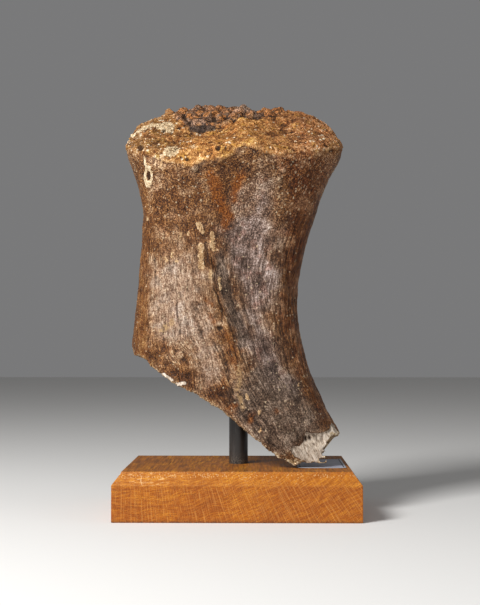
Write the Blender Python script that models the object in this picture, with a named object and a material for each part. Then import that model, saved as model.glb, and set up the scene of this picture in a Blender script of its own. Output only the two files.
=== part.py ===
"""A fossil mammoth pelvis fragment on a steel post in an oak plinth.

Metres, +Z up. The origin is the middle of the plinth's underside, and the front of the piece faces -Y.
The bone is one closed form: a knobbed crown that tips forward, a waisted wall, and a slanting break below.
"""

import math

import bmesh
import bpy
import numpy as np
from mathutils import Vector, noise
from mathutils.geometry import delaunay_2d_cdt

# Oak plinth: a solid block whose top edges are cut back to a small lip and a chamfer below it.
PLINTH_WIDTH = 0.200
PLINTH_DEPTH = 0.1546
PLINTH_THICKNESS = 0.040
CHAMFER_RUN = 0.0068
CHAMFER_DROP = 0.0104
LIP_RUN = 0.0005
LIP_DROP = 0.0016
ARRIS = 0.0005

# Steel post: a round bar that stands in a blind hole in the plinth and ends in a drilled hole in the bone.
POST_RADIUS = 0.008
POST_SIDES = 48
POST_FOOT = 0.016
POST_TOP = 0.152
POST_END_CHAMFER = 0.0010
HOLE_CLEARANCE = 0.0003

# Blank label: a card that lies on the plinth beside the bone's tip.
LABEL_WIDTH = 0.040
LABEL_LENGTH = 0.075
LABEL_THICKNESS = 0.0005
LABEL_RIGHT_EDGE = 0.0895
LABEL_FRONT_EDGE = -0.042
LABEL_LIFT = 0.0003

# The bone's wall: at each height, how far it reaches left, right, to the front and to the back.
WALL_REACH = (
    (0.035, -0.1040, 0.1000, -0.048, -0.008),
    (0.064, -0.1000, 0.0870, -0.050, 0.008),
    (0.100, -0.0950, 0.0695, -0.050, 0.026),
    (0.130, -0.0905, 0.0578, -0.048, 0.036),
    (0.160, -0.0885, 0.0504, -0.046, 0.041),
    (0.190, -0.0860, 0.0512, -0.046, 0.043),
    (0.225, -0.0829, 0.0568, -0.047, 0.045),
    (0.255, -0.0826, 0.0664, -0.051, 0.049),
    (0.280, -0.0876, 0.0758, -0.058, 0.055),
    (0.300, -0.0948, 0.0873, -0.066, 0.062),
    (0.320, -0.0985, 0.0905, -0.070, 0.066),
)
WALL_SQUARENESS = ((0.060, 2.2), (0.160, 2.8), (0.260, 2.6), (0.310, 2.2))

# A shallow hollow runs down the front of the wall, drifting right: its middle and its depth at each height.
HOLLOW_MIDDLE = ((0.106, 0.031), (0.170, 0.0115), (0.265, -0.0057))
HOLLOW_DEPTH = ((0.070, 0.0), (0.120, 0.0035), (0.190, 0.0065), (0.250, 0.0045), (0.290, 0.0))
HOLLOW_WIDTH = 0.017
BACK_HOLLOW_DEPTH = 0.005

# The rim, where the wall meets the crown: its height at each angle from the back, turning by way of the left.
RIM_HEIGHT = (
    (0, 0.332),
    (45, 0.326),
    (90, 0.311),
    (115, 0.300),
    (135, 0.2892),
    (147, 0.2873),
    (157, 0.2903),
    (168, 0.2915),
    (176, 0.2945),
    (182, 0.3005),
    (186, 0.3032),
    (190, 0.3018),
    (196, 0.2985),
    (203, 0.2963),
    (213, 0.2960),
    (228, 0.2988),
    (248, 0.3030),
    (270, 0.3095),
    (315, 0.3250),
    (360, 0.332),
)
RIM_WANDER = 0.0009

# Crown: its skyline and its front level across the piece, then the share of the rise between the two that
# is reached from the front (-1) to the back (1).
SKYLINE = (
    (-0.0985, 0.3095),
    (-0.0946, 0.3215),
    (-0.0901, 0.3272),
    (-0.0814, 0.3340),
    (-0.0732, 0.3402),
    (-0.0595, 0.3480),
    (-0.0393, 0.3523),
    (-0.0215, 0.3535),
    (0.0060, 0.3516),
    (0.0380, 0.3495),
    (0.0539, 0.3475),
    (0.0635, 0.3428),
    (0.0729, 0.3365),
    (0.0795, 0.3302),
    (0.0842, 0.3250),
    (0.0867, 0.3180),
    (0.0900, 0.3095),
)
CROWN_FRONT = (
    (-0.085, 0.3000),
    (-0.060, 0.2885),
    (-0.030, 0.2925),
    (-0.012, 0.2950),
    (0.000, 0.3000),
    (0.007, 0.3028),
    (0.016, 0.3012),
    (0.030, 0.2972),
    (0.050, 0.2972),
    (0.080, 0.3020),
)
CROWN_RISE = (
    (-1.0, 0.0),
    (-0.88, 0.11),
    (-0.6, 0.27),
    (-0.1, 0.52),
    (0.25, 0.80),
    (0.5, 0.95),
    (0.66, 1.0),
    (0.82, 0.97),
    (1.0, 0.72),
)
CROWN_MIDDLE = (-0.004, -0.002)
CROWN_HALF_WIDTH = 0.0955
CROWN_HALF_DEPTH = 0.068
SHOULDER = 0.05
BASIN = (-0.030, -0.005)
BASIN_RADII = (0.0185, 0.0095)
BASIN_DEPTH = 0.0130

# Knobs crowd the crown behind an uneven line, some tall and some low, on broad mounds. In front of the line and
# on both shoulders, which a crust thickens, lies a plainer slope with low lumps.
KNOB_SEED = 11
KNOB_SPACING = 0.0120
KNOB_JITTER = 0.0036
KNOB_HEIGHT = 0.0060
KNOB_SHARES = (0.45, 1.45)
KNOB_RINGS = (0.22, 0.40)
KNOB_FADE = 0.008
KNOB_EDGE = (
    (-0.100, 0.060),
    (-0.066, 0.044),
    (-0.057, 0.024),
    (-0.047, 0.006),
    (-0.012, 0.005),
    (0.020, 0.012),
    (0.036, 0.022),
    (0.049, 0.044),
    (0.090, 0.060),
)
MOUND_SIZE = 0.026
MOUND_HEIGHT = 0.0032
CRUST_THICKNESS = 0.0027
CRUST_REACH = (0.048, 0.072)
LUMP_SIZE = 0.015
LUMP_HEIGHT = 0.0026

# The break: the height of its front edge along X, and how steeply it climbs towards the back.
BREAK_EDGE = (
    (-0.0890, 0.1320),
    (-0.0830, 0.1300),
    (-0.0761, 0.1271),
    (-0.0720, 0.1221),
    (-0.0588, 0.1123),
    (-0.0514, 0.1073),
    (-0.0391, 0.1024),
    (-0.0210, 0.0926),
    (-0.0062, 0.0827),
    (0.0036, 0.0728),
    (0.0160, 0.0630),
    (0.0242, 0.0531),
    (0.0307, 0.0490),
    (0.0431, 0.0430),
    (0.0513, 0.0416),
    (0.0640, 0.0416),
    (0.0700, 0.0430),
    (0.0735, 0.0535),
    (0.0765, 0.0635),
    (0.0833, 0.0660),
)
BREAK_FRONT = -0.048
BREAK_CLIMB = ((-0.088, 0.0), (-0.060, 0.28), (0.030, 0.36), (0.060, 0.22), (0.080, 0.0))
BREAK_JAG_SIZE = 0.009
BREAK_JAG = 0.0022
BREAK_MIDDLE = (-0.010, -0.012)
SPONGE_RECESS = 0.0055
SPONGE_GRAIN = 0.009
SPONGE_ROUGHNESS = 0.0030
SHELL_SHARE = 0.16

# Long grooves in the front of the wall: top and bottom as (x, z), half-width and depth.
GROOVES = (
    ((-0.0250, 0.240), (0.0075, 0.1150), 0.0042, 0.0026),
    ((0.0380, 0.226), (0.0750, 0.0800), 0.0040, 0.0028),
    ((0.0240, 0.200), (0.0560, 0.0840), 0.0045, 0.0018),
    ((-0.0540, 0.225), (-0.0600, 0.1300), 0.0045, 0.0014),
    ((-0.0330, 0.200), (-0.0260, 0.1150), 0.0045, 0.0014),
)

# A flake is missing from the front of the tip.
FLAKE_MIDDLE = (0.0605, 0.0540)
FLAKE_RADII = (0.0175, 0.0165)
FLAKE_DEPTH = 0.0022

# Broad unevenness of the whole surface.
SWELL_SIZE = 0.055
SWELL_HEIGHT = 0.0016

# How finely the bone is divided: around it, down its wall, across its break and over its crown.
AROUND = 88
WALL_ROWS = 23
BREAK_ROWS = 5
INNER_RIMS = (0.972, 0.925)
CROWN_SPACING = 0.0066
POINT_GAP = 0.0022
LOWEST_BREAK = 0.030
HALVINGS = 26


def eased(points, at):
    """The value at `at` on a smooth curve through (place, value) pairs, level beyond both ends."""
    place, value = np.array(points, float).T
    slope = np.gradient(value, place)
    at = np.clip(at, place[0], place[-1])
    i = np.clip(np.searchsorted(place, at) - 1, 0, len(place) - 2)
    gap = place[i + 1] - place[i]
    t = (at - place[i]) / gap
    ends = value[i] * (1 + 2 * t) * (1 - t) ** 2 + value[i + 1] * t * t * (3 - 2 * t)
    return ends + gap * t * (1 - t) * (slope[i] * (1 - t) - slope[i + 1] * t)


def smoothed(low, high, at):
    """0 below low, 1 above high, and an S-curve between."""
    t = np.clip((at - low) / (high - low), 0, 1)
    return t * t * (3 - 2 * t)


def section(angle, height):
    """The wall's (x, y) at angles from the back, turning by way of the left, and at heights."""
    reach = np.array(WALL_REACH)
    left, right, front, back = (eased(reach[:, [0, side]], height) for side in (1, 2, 3, 4))
    power = 2 / eased(WALL_SQUARENESS, height)
    across, along = -np.sin(angle), np.cos(angle)
    x = (left + right) / 2 + (right - left) / 2 * np.sign(across) * np.abs(across) ** power
    y = (front + back) / 2 + (back - front) / 2 * np.sign(along) * np.abs(along) ** power
    off_middle = (x - eased(HOLLOW_MIDDLE, height)) / HOLLOW_WIDTH
    front_hollow = eased(HOLLOW_DEPTH, height) * np.clip(-along, 0, 1) * np.exp(-(off_middle**2))
    off_middle = (x - (left + right) / 2) / (right - left) * 3
    back_hollow = BACK_HOLLOW_DEPTH * np.clip(along, 0, 1) * np.exp(-(off_middle**2))
    return x, y + front_hollow - back_hollow * smoothed(0.30, 0.26, height)


def rim_height(angle):
    """The rim's height at angles from the back, with a slight wander."""
    wander = np.sin(9 * angle + 1.3) * np.sin(4 * angle) + 0.6 * np.sin(23 * angle + 0.4)
    return eased(RIM_HEIGHT, np.degrees(angle)) + RIM_WANDER * wander


def rim_points(angle):
    height = rim_height(angle)
    return np.stack([*section(angle, height), height], axis=1)


def bumps(points, size):
    """Smooth noise of about -1 to 1 at each point, with bumps of about this size."""
    return np.array([noise.noise(Vector(point) / size) for point in points])


def break_height(x, y):
    """The break as a jagged height over the plan."""
    jag = BREAK_JAG * bumps(np.stack([x, y, np.zeros_like(x)], axis=-1).reshape(-1, 3), BREAK_JAG_SIZE)
    return eased(BREAK_EDGE, x) + eased(BREAK_CLIMB, x) * (y - BREAK_FRONT) + jag.reshape(np.shape(x))


def break_on_wall(angle):
    """The height at which the wall meets the break, found by halving."""
    low = np.full_like(angle, LOWEST_BREAK)
    high = rim_height(angle)
    for _ in range(HALVINGS):
        middle = (low + high) / 2
        below = middle < break_height(*section(angle, middle))
        low, high = np.where(below, middle, low), np.where(below, high, middle)
    return high


def toward_rim(x, y):
    """How far points of the plan lie towards the rim (1 on it), and the rim's height beside them."""
    rim = rim_points(np.linspace(0, 2 * math.pi, 720, endpoint=False))
    off = rim[:, :2] - CROWN_MIDDLE
    bearing = np.arctan2(off[:, 1], off[:, 0])
    at = np.arctan2(y - CROWN_MIDDLE[1], x - CROWN_MIDDLE[0])
    order = np.argsort(bearing)
    bearing, distance, height = bearing[order], np.hypot(*off.T)[order], rim[order, 2]
    share = np.hypot(x - CROWN_MIDDLE[0], y - CROWN_MIDDLE[1]) / np.interp(at, bearing, distance, period=2 * math.pi)
    return share, np.interp(at, bearing, height, period=2 * math.pi)


def crown_height(x, y):
    """The crown as a height over the plan, without its knobs."""
    share, rim = toward_rim(x, y)
    off_middle = np.clip(np.abs(x - CROWN_MIDDLE[0]) / CROWN_HALF_WIDTH, 0, 0.995)
    half_depth = CROWN_HALF_DEPTH * (1 - off_middle**2.2) ** (1 / 2.2)
    rise = eased(CROWN_RISE, (y - CROWN_MIDDLE[1]) / half_depth)
    front = eased(CROWN_FRONT, x)
    height = front + (eased(SKYLINE, x) - front) * rise
    basin = ((x - BASIN[0]) / BASIN_RADII[0]) ** 2 + ((y - BASIN[1]) / BASIN_RADII[1]) ** 2
    height = height - BASIN_DEPTH * np.exp(-(basin**1.5))
    edge = np.sin(math.pi / 2 * np.clip((1 - share) / SHOULDER, 0, 1)) ** 0.7
    return rim + (height - rim) * edge


def on_crown(x, y):
    return np.stack([x, y, crown_height(x, y)], axis=1)


def lattice(spacing):
    """Points of a triangular lattice over the crown's plan."""
    x, y = np.meshgrid(np.arange(-0.105, 0.105, spacing), np.arange(-0.080, 0.080, spacing * 0.866))
    x[1::2] += spacing / 2
    return x.ravel(), y.ravel()


def knob_middles():
    """Where the knobs are, as plan points, and how tall: a jittered lattice over a little more than their field."""
    rng = np.random.default_rng(KNOB_SEED)
    middles = np.stack(lattice(KNOB_SPACING), axis=1)
    middles += rng.uniform(-KNOB_JITTER, KNOB_JITTER, middles.shape)
    shares = rng.uniform(*KNOB_SHARES, len(middles))
    near_field = middles[:, 1] > eased(KNOB_EDGE, middles[:, 0]) - 2 * KNOB_SPACING
    return middles[near_field], shares[near_field]


def knob_plan():
    """Plan points that carry the knobs: their tops, the dips between them, and their flanks."""
    middles, _ = knob_middles()
    _, edges, faces, _, _, _ = delaunay_2d_cdt([Vector(m) for m in middles], [], [], 0, 1e-7)
    edges, faces = np.array(edges), np.array(faces)
    pits = middles[faces].mean(axis=1)
    saddles = middles[edges].mean(axis=1)
    turn = np.arange(0, 2 * math.pi, math.pi / 3)
    flanks = [
        middles + KNOB_SPACING * share * np.array([math.cos(t + share), math.sin(t + share)])
        for share in KNOB_RINGS
        for t in turn
    ]
    field = np.concatenate([middles, pits, saddles, *flanks])
    return field[field[:, 1] > eased(KNOB_EDGE, field[:, 0]) - KNOB_FADE]


def crown_plan():
    """Plan points to mesh the crown by: the rim, two rings inside it, the knobs, and a lattice elsewhere."""
    rim = rim_points(np.linspace(0, 2 * math.pi, AROUND, endpoint=False))[:, :2]
    inner = [CROWN_MIDDLE + (rim - CROWN_MIDDLE) * share for share in INNER_RIMS]
    groups = [(ring, POINT_GAP) for ring in inner]
    groups += [(knob_plan(), POINT_GAP), (np.stack(lattice(CROWN_SPACING), axis=1), CROWN_SPACING * 0.7)]
    placed = rim
    for group, gap in groups:
        for point in group[toward_rim(*group.T)[0] < 0.97]:
            if np.min(np.hypot(*(placed - point).T)) > gap:
                placed = np.vstack([placed, point])
    return placed


def crown_mesh(first):
    """The crown's points inside the rim, and its faces, where the rim is points 0 to AROUND - 1."""
    plan = crown_plan()
    loop = list(range(AROUND))
    flat = [Vector(p) for p in plan]
    vertices, _, faces, origin, _, _ = delaunay_2d_cdt(flat, [], [loop], 1, 1e-7)
    index = [o[0] if o[0] < AROUND else o[0] - AROUND + first for o in origin]
    inner = plan[AROUND:]
    return on_crown(*inner.T), [tuple(index[i] for i in face) for face in faces]


def wall_ring(angle, share):
    """A ring of the wall, at a share of the way from the rim to the break."""
    rim = rim_height(angle)
    height = rim + (break_on_wall(angle) - rim) * share
    return np.stack([*section(angle, height), height], axis=1)


def break_ring(angle, share):
    """A ring of the break, at a share of the way from its middle to the wall: a shell, then sunk sponge."""
    x, y = (m + share * (p - m) for m, p in zip(BREAK_MIDDLE, section(angle, break_on_wall(angle))))
    rough = SPONGE_ROUGHNESS * bumps(np.stack([x, y, np.ones_like(x)], axis=1), SPONGE_GRAIN)
    sunk = (SPONGE_RECESS + rough) * smoothed(0, SHELL_SHARE, 1 - share)
    return np.stack([x, y, break_height(x, y) + sunk], axis=1)


def bone_form():
    """Points and faces of the bone's plain form: rings from the rim to the break's middle, then the crown."""
    angle = np.linspace(0, 2 * math.pi, AROUND, endpoint=False)
    down = np.arange(WALL_ROWS + 1) / WALL_ROWS
    inward = np.arange(1, BREAK_ROWS) / BREAK_ROWS
    rings = [wall_ring(angle, t - 0.10 * math.sin(2 * math.pi * t)) for t in down]
    rings += [break_ring(angle, 1 - t) for t in inward]
    bottom = (*BREAK_MIDDLE, float(break_height(*np.array(BREAK_MIDDLE))) + SPONGE_RECESS)
    points = np.concatenate([*rings, [bottom]])
    faces = tube_faces(AROUND, len(rings)) + fan_faces(AROUND, (len(rings) - 1) * AROUND, len(points) - 1)
    crown_points, crown_faces = crown_mesh(len(points))
    return np.concatenate([points, crown_points]), faces + crown_faces


def tube_faces(around, rings):
    """Faces between rings that follow each other, each with the same number of points."""
    turn = [(i, (i + 1) % around) for i in range(around)]
    starts = [row * around for row in range(rings - 1)]
    return [(s + i, s + around + i, s + around + j, s + j) for s in starts for i, j in turn]


def fan_faces(around, start, middle):
    """Faces from a ring to a single point."""
    return [(start + (i + 1) % around, start + i, middle) for i in range(around)]


def knob_relief(points):
    """How far each point of the crown stands out because of knobs and lumps."""
    x, y, z = points.T
    middles, shares = knob_middles()
    tops = on_crown(*middles.T)
    distance = np.linalg.norm(points[:, None] - tops[None], axis=2)
    share = shares[np.argmin(distance, axis=1)]
    nearest, second = np.sort(distance, axis=1)[:, :2].T
    dome = 1 - (nearest / second) ** 2.2
    in_field = smoothed(-KNOB_FADE, 0, y - eased(KNOB_EDGE, x))
    knobs = KNOB_HEIGHT * (share * dome - 0.5) + MOUND_HEIGHT * bumps(points, MOUND_SIZE)
    crust = CRUST_THICKNESS * smoothed(*CRUST_REACH, np.abs(x - CROWN_MIDDLE[0]))
    relief = knobs * in_field + (crust + LUMP_HEIGHT * bumps(points, LUMP_SIZE)) * (1 - in_field)
    above_rim = z - toward_rim(x, y)[1]
    return relief * smoothed(-0.002, 0.003, above_rim)


def groove_relief(points):
    """How far each point is sunk by the long grooves in the front of the wall."""
    relief = np.zeros(len(points))
    place = points[:, [0, 2]]
    for top, bottom, width, depth in GROOVES:
        run = np.subtract(bottom, top)
        along = np.clip((place - top) @ run / (run @ run), 0, 1)
        off = np.linalg.norm(place - top - along[:, None] * run, axis=1)
        fade = np.sin(math.pi * np.clip(along, 0.03, 0.97)) ** 0.4
        relief -= depth * fade * np.exp(-((off / width) ** 2))
    return relief * (points[:, 1] < -0.01)


def flake_relief(points):
    x, y, z = points.T
    off = np.hypot((x - FLAKE_MIDDLE[0]) / FLAKE_RADII[0], (z - FLAKE_MIDDLE[1]) / FLAKE_RADII[1])
    return -FLAKE_DEPTH * (1 - smoothed(0.75, 1.05, off)) * (y < -0.02)


def mesh_object(name, points, faces, finish, smooth_angle=None):
    """An object with this mesh and material, its faces turned outwards."""
    mesh = bpy.data.meshes.new(name)
    mesh.from_pydata([tuple(p) for p in points], [], faces)
    form = bmesh.new()
    form.from_mesh(mesh)
    bmesh.ops.recalc_face_normals(form, faces=form.faces)
    form.to_mesh(mesh)
    form.free()
    mesh.materials.append(finish)
    if smooth_angle is not None:
        mesh.shade_smooth()
        mesh.set_sharp_from_angle(angle=smooth_angle)
    obj = bpy.data.objects.new(name, mesh)
    bpy.context.scene.collection.objects.link(obj)
    return obj


def material(name, colour, roughness, metallic=0.0):
    made = bpy.data.materials.new(name)
    made.use_nodes = True
    shader = made.node_tree.nodes["Principled BSDF"]
    shader.inputs["Base Color"].default_value = (*colour, 1.0)
    shader.inputs["Roughness"].default_value = roughness
    shader.inputs["Metallic"].default_value = metallic
    return made


def turned(name, profile, sides, finish):
    """A round bar about the Z axis, from (radius, height) pairs, bottom to top, closed at both ends."""
    angle = np.linspace(0, 2 * math.pi, sides, endpoint=False)
    rings = [np.stack([r * np.cos(angle), r * np.sin(angle), np.full(sides, z)], axis=1) for r, z in profile]
    points = np.concatenate(rings)
    top = (len(rings) - 1) * sides
    faces = tube_faces(sides, len(rings)) + [tuple(range(sides)), tuple(range(top, top + sides))]
    return mesh_object(name, points, faces, finish, math.radians(30))


def drill(target, bottom, top):
    """Cuts the post's hole out of an object, between two heights."""
    radius = POST_RADIUS + HOLE_CLEARANCE
    cutter = turned(f"{target.name}_drill", [(radius, bottom), (radius, top)], POST_SIDES, None)
    cutter.hide_render = True
    cutter.display_type = "WIRE"
    hole = target.modifiers.new("post_hole", "BOOLEAN")
    hole.operation = "DIFFERENCE"
    hole.solver = "EXACT"
    hole.object = cutter


def make_bone():
    finish = material("fossil_bone", (0.235, 0.150, 0.095), 0.48)
    points, faces = bone_form()
    bone = mesh_object("bone", points, faces, finish)
    normals = np.empty(len(points) * 3)
    bone.data.vertex_normals.foreach_get("vector", normals)
    relief = SWELL_HEIGHT * bumps(points, SWELL_SIZE)
    relief += knob_relief(points) + groove_relief(points) + flake_relief(points)
    points = points + normals.reshape(-1, 3) * relief[:, None]
    bone.data.vertices.foreach_set("co", points.ravel())
    bone.data.shade_smooth()
    drill(bone, LOWEST_BREAK, POST_TOP + HOLE_CLEARANCE)


def make_post():
    finish = material("black_steel", (0.012, 0.012, 0.013), 0.42)
    inner = POST_RADIUS - POST_END_CHAMFER
    profile = [
        (inner, POST_FOOT),
        (POST_RADIUS, POST_FOOT + POST_END_CHAMFER),
        (POST_RADIUS, POST_TOP - POST_END_CHAMFER),
        (inner, POST_TOP),
    ]
    turned("post", profile, POST_SIDES, finish)


def rectangle(width, depth, height, middle=(0, 0)):
    corners = ((-1, -1), (1, -1), (1, 1), (-1, 1))
    return [(middle[0] + i * width / 2, middle[1] + j * depth / 2, height) for i, j in corners]


def stacked(name, outlines, finish):
    """A block through four-cornered outlines, bottom to top."""
    points = [p for outline in outlines for p in outline]
    top = len(points) - 4
    faces = tube_faces(4, len(outlines)) + [(0, 1, 2, 3), (top, top + 1, top + 2, top + 3)]
    return mesh_object(name, points, faces, finish)


def make_plinth():
    finish = material("oak", (0.480, 0.220, 0.070), 0.50)
    levels = (
        (0, 0),
        (0, PLINTH_THICKNESS - CHAMFER_DROP),
        (CHAMFER_RUN, PLINTH_THICKNESS - LIP_DROP),
        (CHAMFER_RUN + LIP_RUN, PLINTH_THICKNESS),
    )
    outlines = [rectangle(PLINTH_WIDTH - 2 * i, PLINTH_DEPTH - 2 * i, z) for i, z in levels]
    plinth = stacked("plinth", outlines, finish)
    arris = plinth.modifiers.new("arris", "BEVEL")
    arris.width = ARRIS
    arris.segments = 2
    drill(plinth, POST_FOOT - HOLE_CLEARANCE, PLINTH_THICKNESS + POST_RADIUS)


def make_label():
    finish = material("blank_card", (0.300, 0.340, 0.400), 0.35)
    middle = (LABEL_RIGHT_EDGE - LABEL_WIDTH / 2, LABEL_FRONT_EDGE + LABEL_LENGTH / 2)
    bottom = PLINTH_THICKNESS + LABEL_LIFT
    outlines = [rectangle(LABEL_WIDTH, LABEL_LENGTH, z, middle) for z in (bottom, bottom + LABEL_THICKNESS)]
    stacked("label", outlines, finish)


def main():
    for obj in list(bpy.data.objects):
        bpy.data.objects.remove(obj)
    make_bone()
    make_post()
    make_plinth()
    make_label()


main()
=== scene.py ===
"""The looks of a fossil mammoth pelvis fragment on a steel post in an oak plinth with a bare label."""

import math
from itertools import product

import bmesh
import bpy
import numpy as np
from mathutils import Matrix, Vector


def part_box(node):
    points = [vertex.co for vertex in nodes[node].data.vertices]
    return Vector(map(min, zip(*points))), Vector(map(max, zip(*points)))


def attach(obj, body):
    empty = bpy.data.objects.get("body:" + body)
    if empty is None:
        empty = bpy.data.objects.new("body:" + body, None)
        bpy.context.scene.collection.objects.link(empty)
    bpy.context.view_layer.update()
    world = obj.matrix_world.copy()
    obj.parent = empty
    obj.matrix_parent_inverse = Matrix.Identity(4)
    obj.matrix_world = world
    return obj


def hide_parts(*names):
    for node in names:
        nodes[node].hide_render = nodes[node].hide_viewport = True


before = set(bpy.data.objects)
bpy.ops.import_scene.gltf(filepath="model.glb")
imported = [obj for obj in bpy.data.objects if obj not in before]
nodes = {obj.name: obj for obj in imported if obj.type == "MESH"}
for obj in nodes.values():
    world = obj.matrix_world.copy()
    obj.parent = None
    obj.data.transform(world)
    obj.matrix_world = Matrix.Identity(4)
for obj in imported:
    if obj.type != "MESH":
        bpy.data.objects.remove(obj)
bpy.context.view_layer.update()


# The bone.
# One piece of mineral-filled hip bone: a knobbed growth surface, a fibrous waisted wall, a slanting break.
# The CAD form is rounded, remeshed finely and carved in millimetres. Marks lie at (x, z) on its front.

MM = 0.001
POST_HOLE_RADIUS = 0.0083
POST_HOLE_TOP = 0.1523
POST_HOLE_BOTTOM = 0.02
POST_HOLE_ROOM = 0.0003
HOLE_TOLERANCE = 0.00004
DRILL_SIDES = 64
MERGE_DISTANCE = 0.00001
FLAT_ENOUGH = math.radians(30)
SQUARE_ENOUGH = math.radians(60)
SHARP_ENOUGH = math.radians(38)
BREAK_TOP = 0.14
TIP_TOP = 0.072
TIP_LEFT = 0.04
ROUNDING_LEVELS = 2
REMESH_SIZE = 0.0011
MOST_TRIANGLES = 196000
FEWEST_POINTS = 200


def along(table, at):
    """The value at `at` on straight lines through (place, value) pairs."""
    place, value = np.array(table, float).T
    return np.interp(at, place, value)


def step(low, high, at):
    """0 below low, 1 above high, and an S-curve between."""
    t = np.clip((at - low) / (high - low), 0, 1)
    return t * t * (3 - 2 * t)


def chances(x, y, z, seed):
    """Three random shares from 0 to 1 for each whole-numbered cell of space."""
    mixed = x * 73856093 ^ y * 19349663 ^ z * 83492791 ^ (seed + 1) * 40503
    mixed = (mixed ^ (mixed >> 15)) * 2246822519 & 0xFFFFFFFF
    mixed = (mixed ^ (mixed >> 13)) * 3266489917 & 0xFFFFFFFF
    mixed ^= mixed >> 16
    return [(mixed >> shift & 1023) / 1023 for shift in (0, 10, 20)]


def blotches(points, size, seed=0):
    """Smooth noise of about -1 to 1 at each point, with blotches of about this size."""
    at = (points / size).T.copy()
    cell = np.floor(at).astype(np.int64)
    inside = at - cell
    fade = inside**3 * (inside * (6 * inside - 15) + 10)
    total = np.zeros(len(points))
    for corner in product((0, 1), repeat=3):
        weight = 1.0
        rise = 0.0
        steps = [c + k for c, k in zip(cell, corner)]
        for i, k, f, share in zip(inside, corner, fade, chances(*steps, seed)):
            weight = weight * (f if k else 1 - f)
            rise = rise + (i - k) * (2 * share - 1)
        total += weight * rise
    return 1.6 * total


def grains(points, size):
    """Rounded grains packed side by side: 1 on top of each and 0 in the gaps."""
    at = (points / size).T.copy()
    cell = np.floor(at).astype(np.int64)
    near = np.full(len(points), 9.0)
    second = near.copy()
    for corner in product((-1, 0, 1), repeat=3):
        there = [c + k for c, k in zip(cell, corner)]
        shares = chances(*there, seed=500)
        distance = sum((t + share - a) ** 2 for t, share, a in zip(there, shares, at))
        second = np.where(distance < near, near, np.minimum(second, distance))
        near = np.minimum(near, distance)
    return 1 - near / second


def hump(off, width, power=2):
    """1 where off is 0, falling to 0 on both sides over about this width."""
    return np.exp(-((off / width) ** power))


def from_middle(place, middle, radii=1):
    """How far points of a plane are from a middle, counted in these radii."""
    return np.linalg.norm((place - middle) / radii, axis=1)


def line_distance(place, line):
    """How far points of a plane are from a line through given corners."""
    corners = np.array(line, float)
    nearest = np.full(len(place), np.inf)
    for start, end in zip(corners[:-1], corners[1:]):
        run = end - start
        t = np.clip((place - start) @ run / (run @ run), 0, 1)
        nearest = np.minimum(nearest, np.linalg.norm(place - start - t[:, None] * run, axis=1))
    return nearest


def inside_depth(place, outline):
    """How deep points of a plane lie inside an outline; outside it, minus their distance from it."""
    corners = np.array(outline, float)
    inside = np.zeros(len(place), bool)
    for start, end in zip(corners, np.roll(corners, -1, axis=0)):
        spans = (start[1] > place[:, 1]) != (end[1] > place[:, 1])
        rise = end[1] - start[1] if end[1] != start[1] else 1.0
        crossing = start[0] + (place[:, 1] - start[1]) * (end[0] - start[0]) / rise
        inside ^= spans & (place[:, 0] < crossing)
    return np.where(inside, 1, -1) * line_distance(place, [*outline, outline[0]])


def as_mesh(form, name):
    """Turns a finished bmesh into a mesh."""
    mesh = bpy.data.meshes.new(name)
    form.to_mesh(mesh)
    form.free()
    return mesh


def in_scene(name, data):
    """Puts a new object in the scene, with this mesh, camera or light."""
    obj = bpy.data.objects.new(name, data)
    bpy.context.scene.collection.objects.link(obj)
    return obj


def whole_copy(node):
    """A copy of a CAD node's mesh without the post's hole, joined to larger faces, its break kept sharp."""
    form = bmesh.new()
    form.from_mesh(node.data)
    bmesh.ops.remove_doubles(form, verts=form.verts, dist=MERGE_DISTANCE)
    off_hole = {v: abs(math.hypot(v.co.x, v.co.y) - POST_HOLE_RADIUS) for v in form.verts}
    walls = [f for f in form.faces if all(off_hole[v] < HOLE_TOLERANCE for v in f.verts)]
    bmesh.ops.delete(form, geom=walls, context="FACES")
    bmesh.ops.holes_fill(form, edges=[e for e in form.edges if e.is_boundary], sides=0)
    limits = {"angle_face_threshold": FLAT_ENOUGH, "angle_shape_threshold": SQUARE_ENOUGH}
    bmesh.ops.join_triangles(form, faces=form.faces, **limits)
    crease = form.edges.layers.float.new("crease_edge")
    for edge in form.edges:
        top, right = (max(v.co[axis] for v in edge.verts) for axis in (2, 0))
        at_tip = top < TIP_TOP and right > TIP_LEFT
        if at_tip or (top < BREAK_TOP and edge.calc_face_angle(0) > SHARP_ENOUGH):
            edge[crease] = 1.0
    return as_mesh(form, "bone_form")


def modify(obj, name, kind, **settings):
    """Adds a modifier with these settings."""
    modifier = obj.modifiers.new(name, kind)
    for setting, value in settings.items():
        setattr(modifier, setting, value)


def applied(obj):
    """Makes the object's mesh what its modifiers show, and takes them off."""
    graph = bpy.context.evaluated_depsgraph_get()
    shown = obj.evaluated_get(graph)
    mesh = bpy.data.meshes.new_from_object(shown, preserve_all_data_layers=True, depsgraph=graph)
    obj.modifiers.clear()
    obj.data = mesh
    return mesh


def drill(radius, bottom, top):
    """A plain closed bar about the Z axis, to cut the post's hole with."""
    form = bmesh.new()
    sizes = {"radius1": radius, "radius2": radius, "depth": top - bottom}
    bmesh.ops.create_cone(form, cap_ends=True, segments=DRILL_SIDES, **sizes)
    bmesh.ops.translate(form, verts=form.verts, vec=(0, 0, (top + bottom) / 2))
    return in_scene("post_drill", as_mesh(form, "post_drill"))


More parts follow.
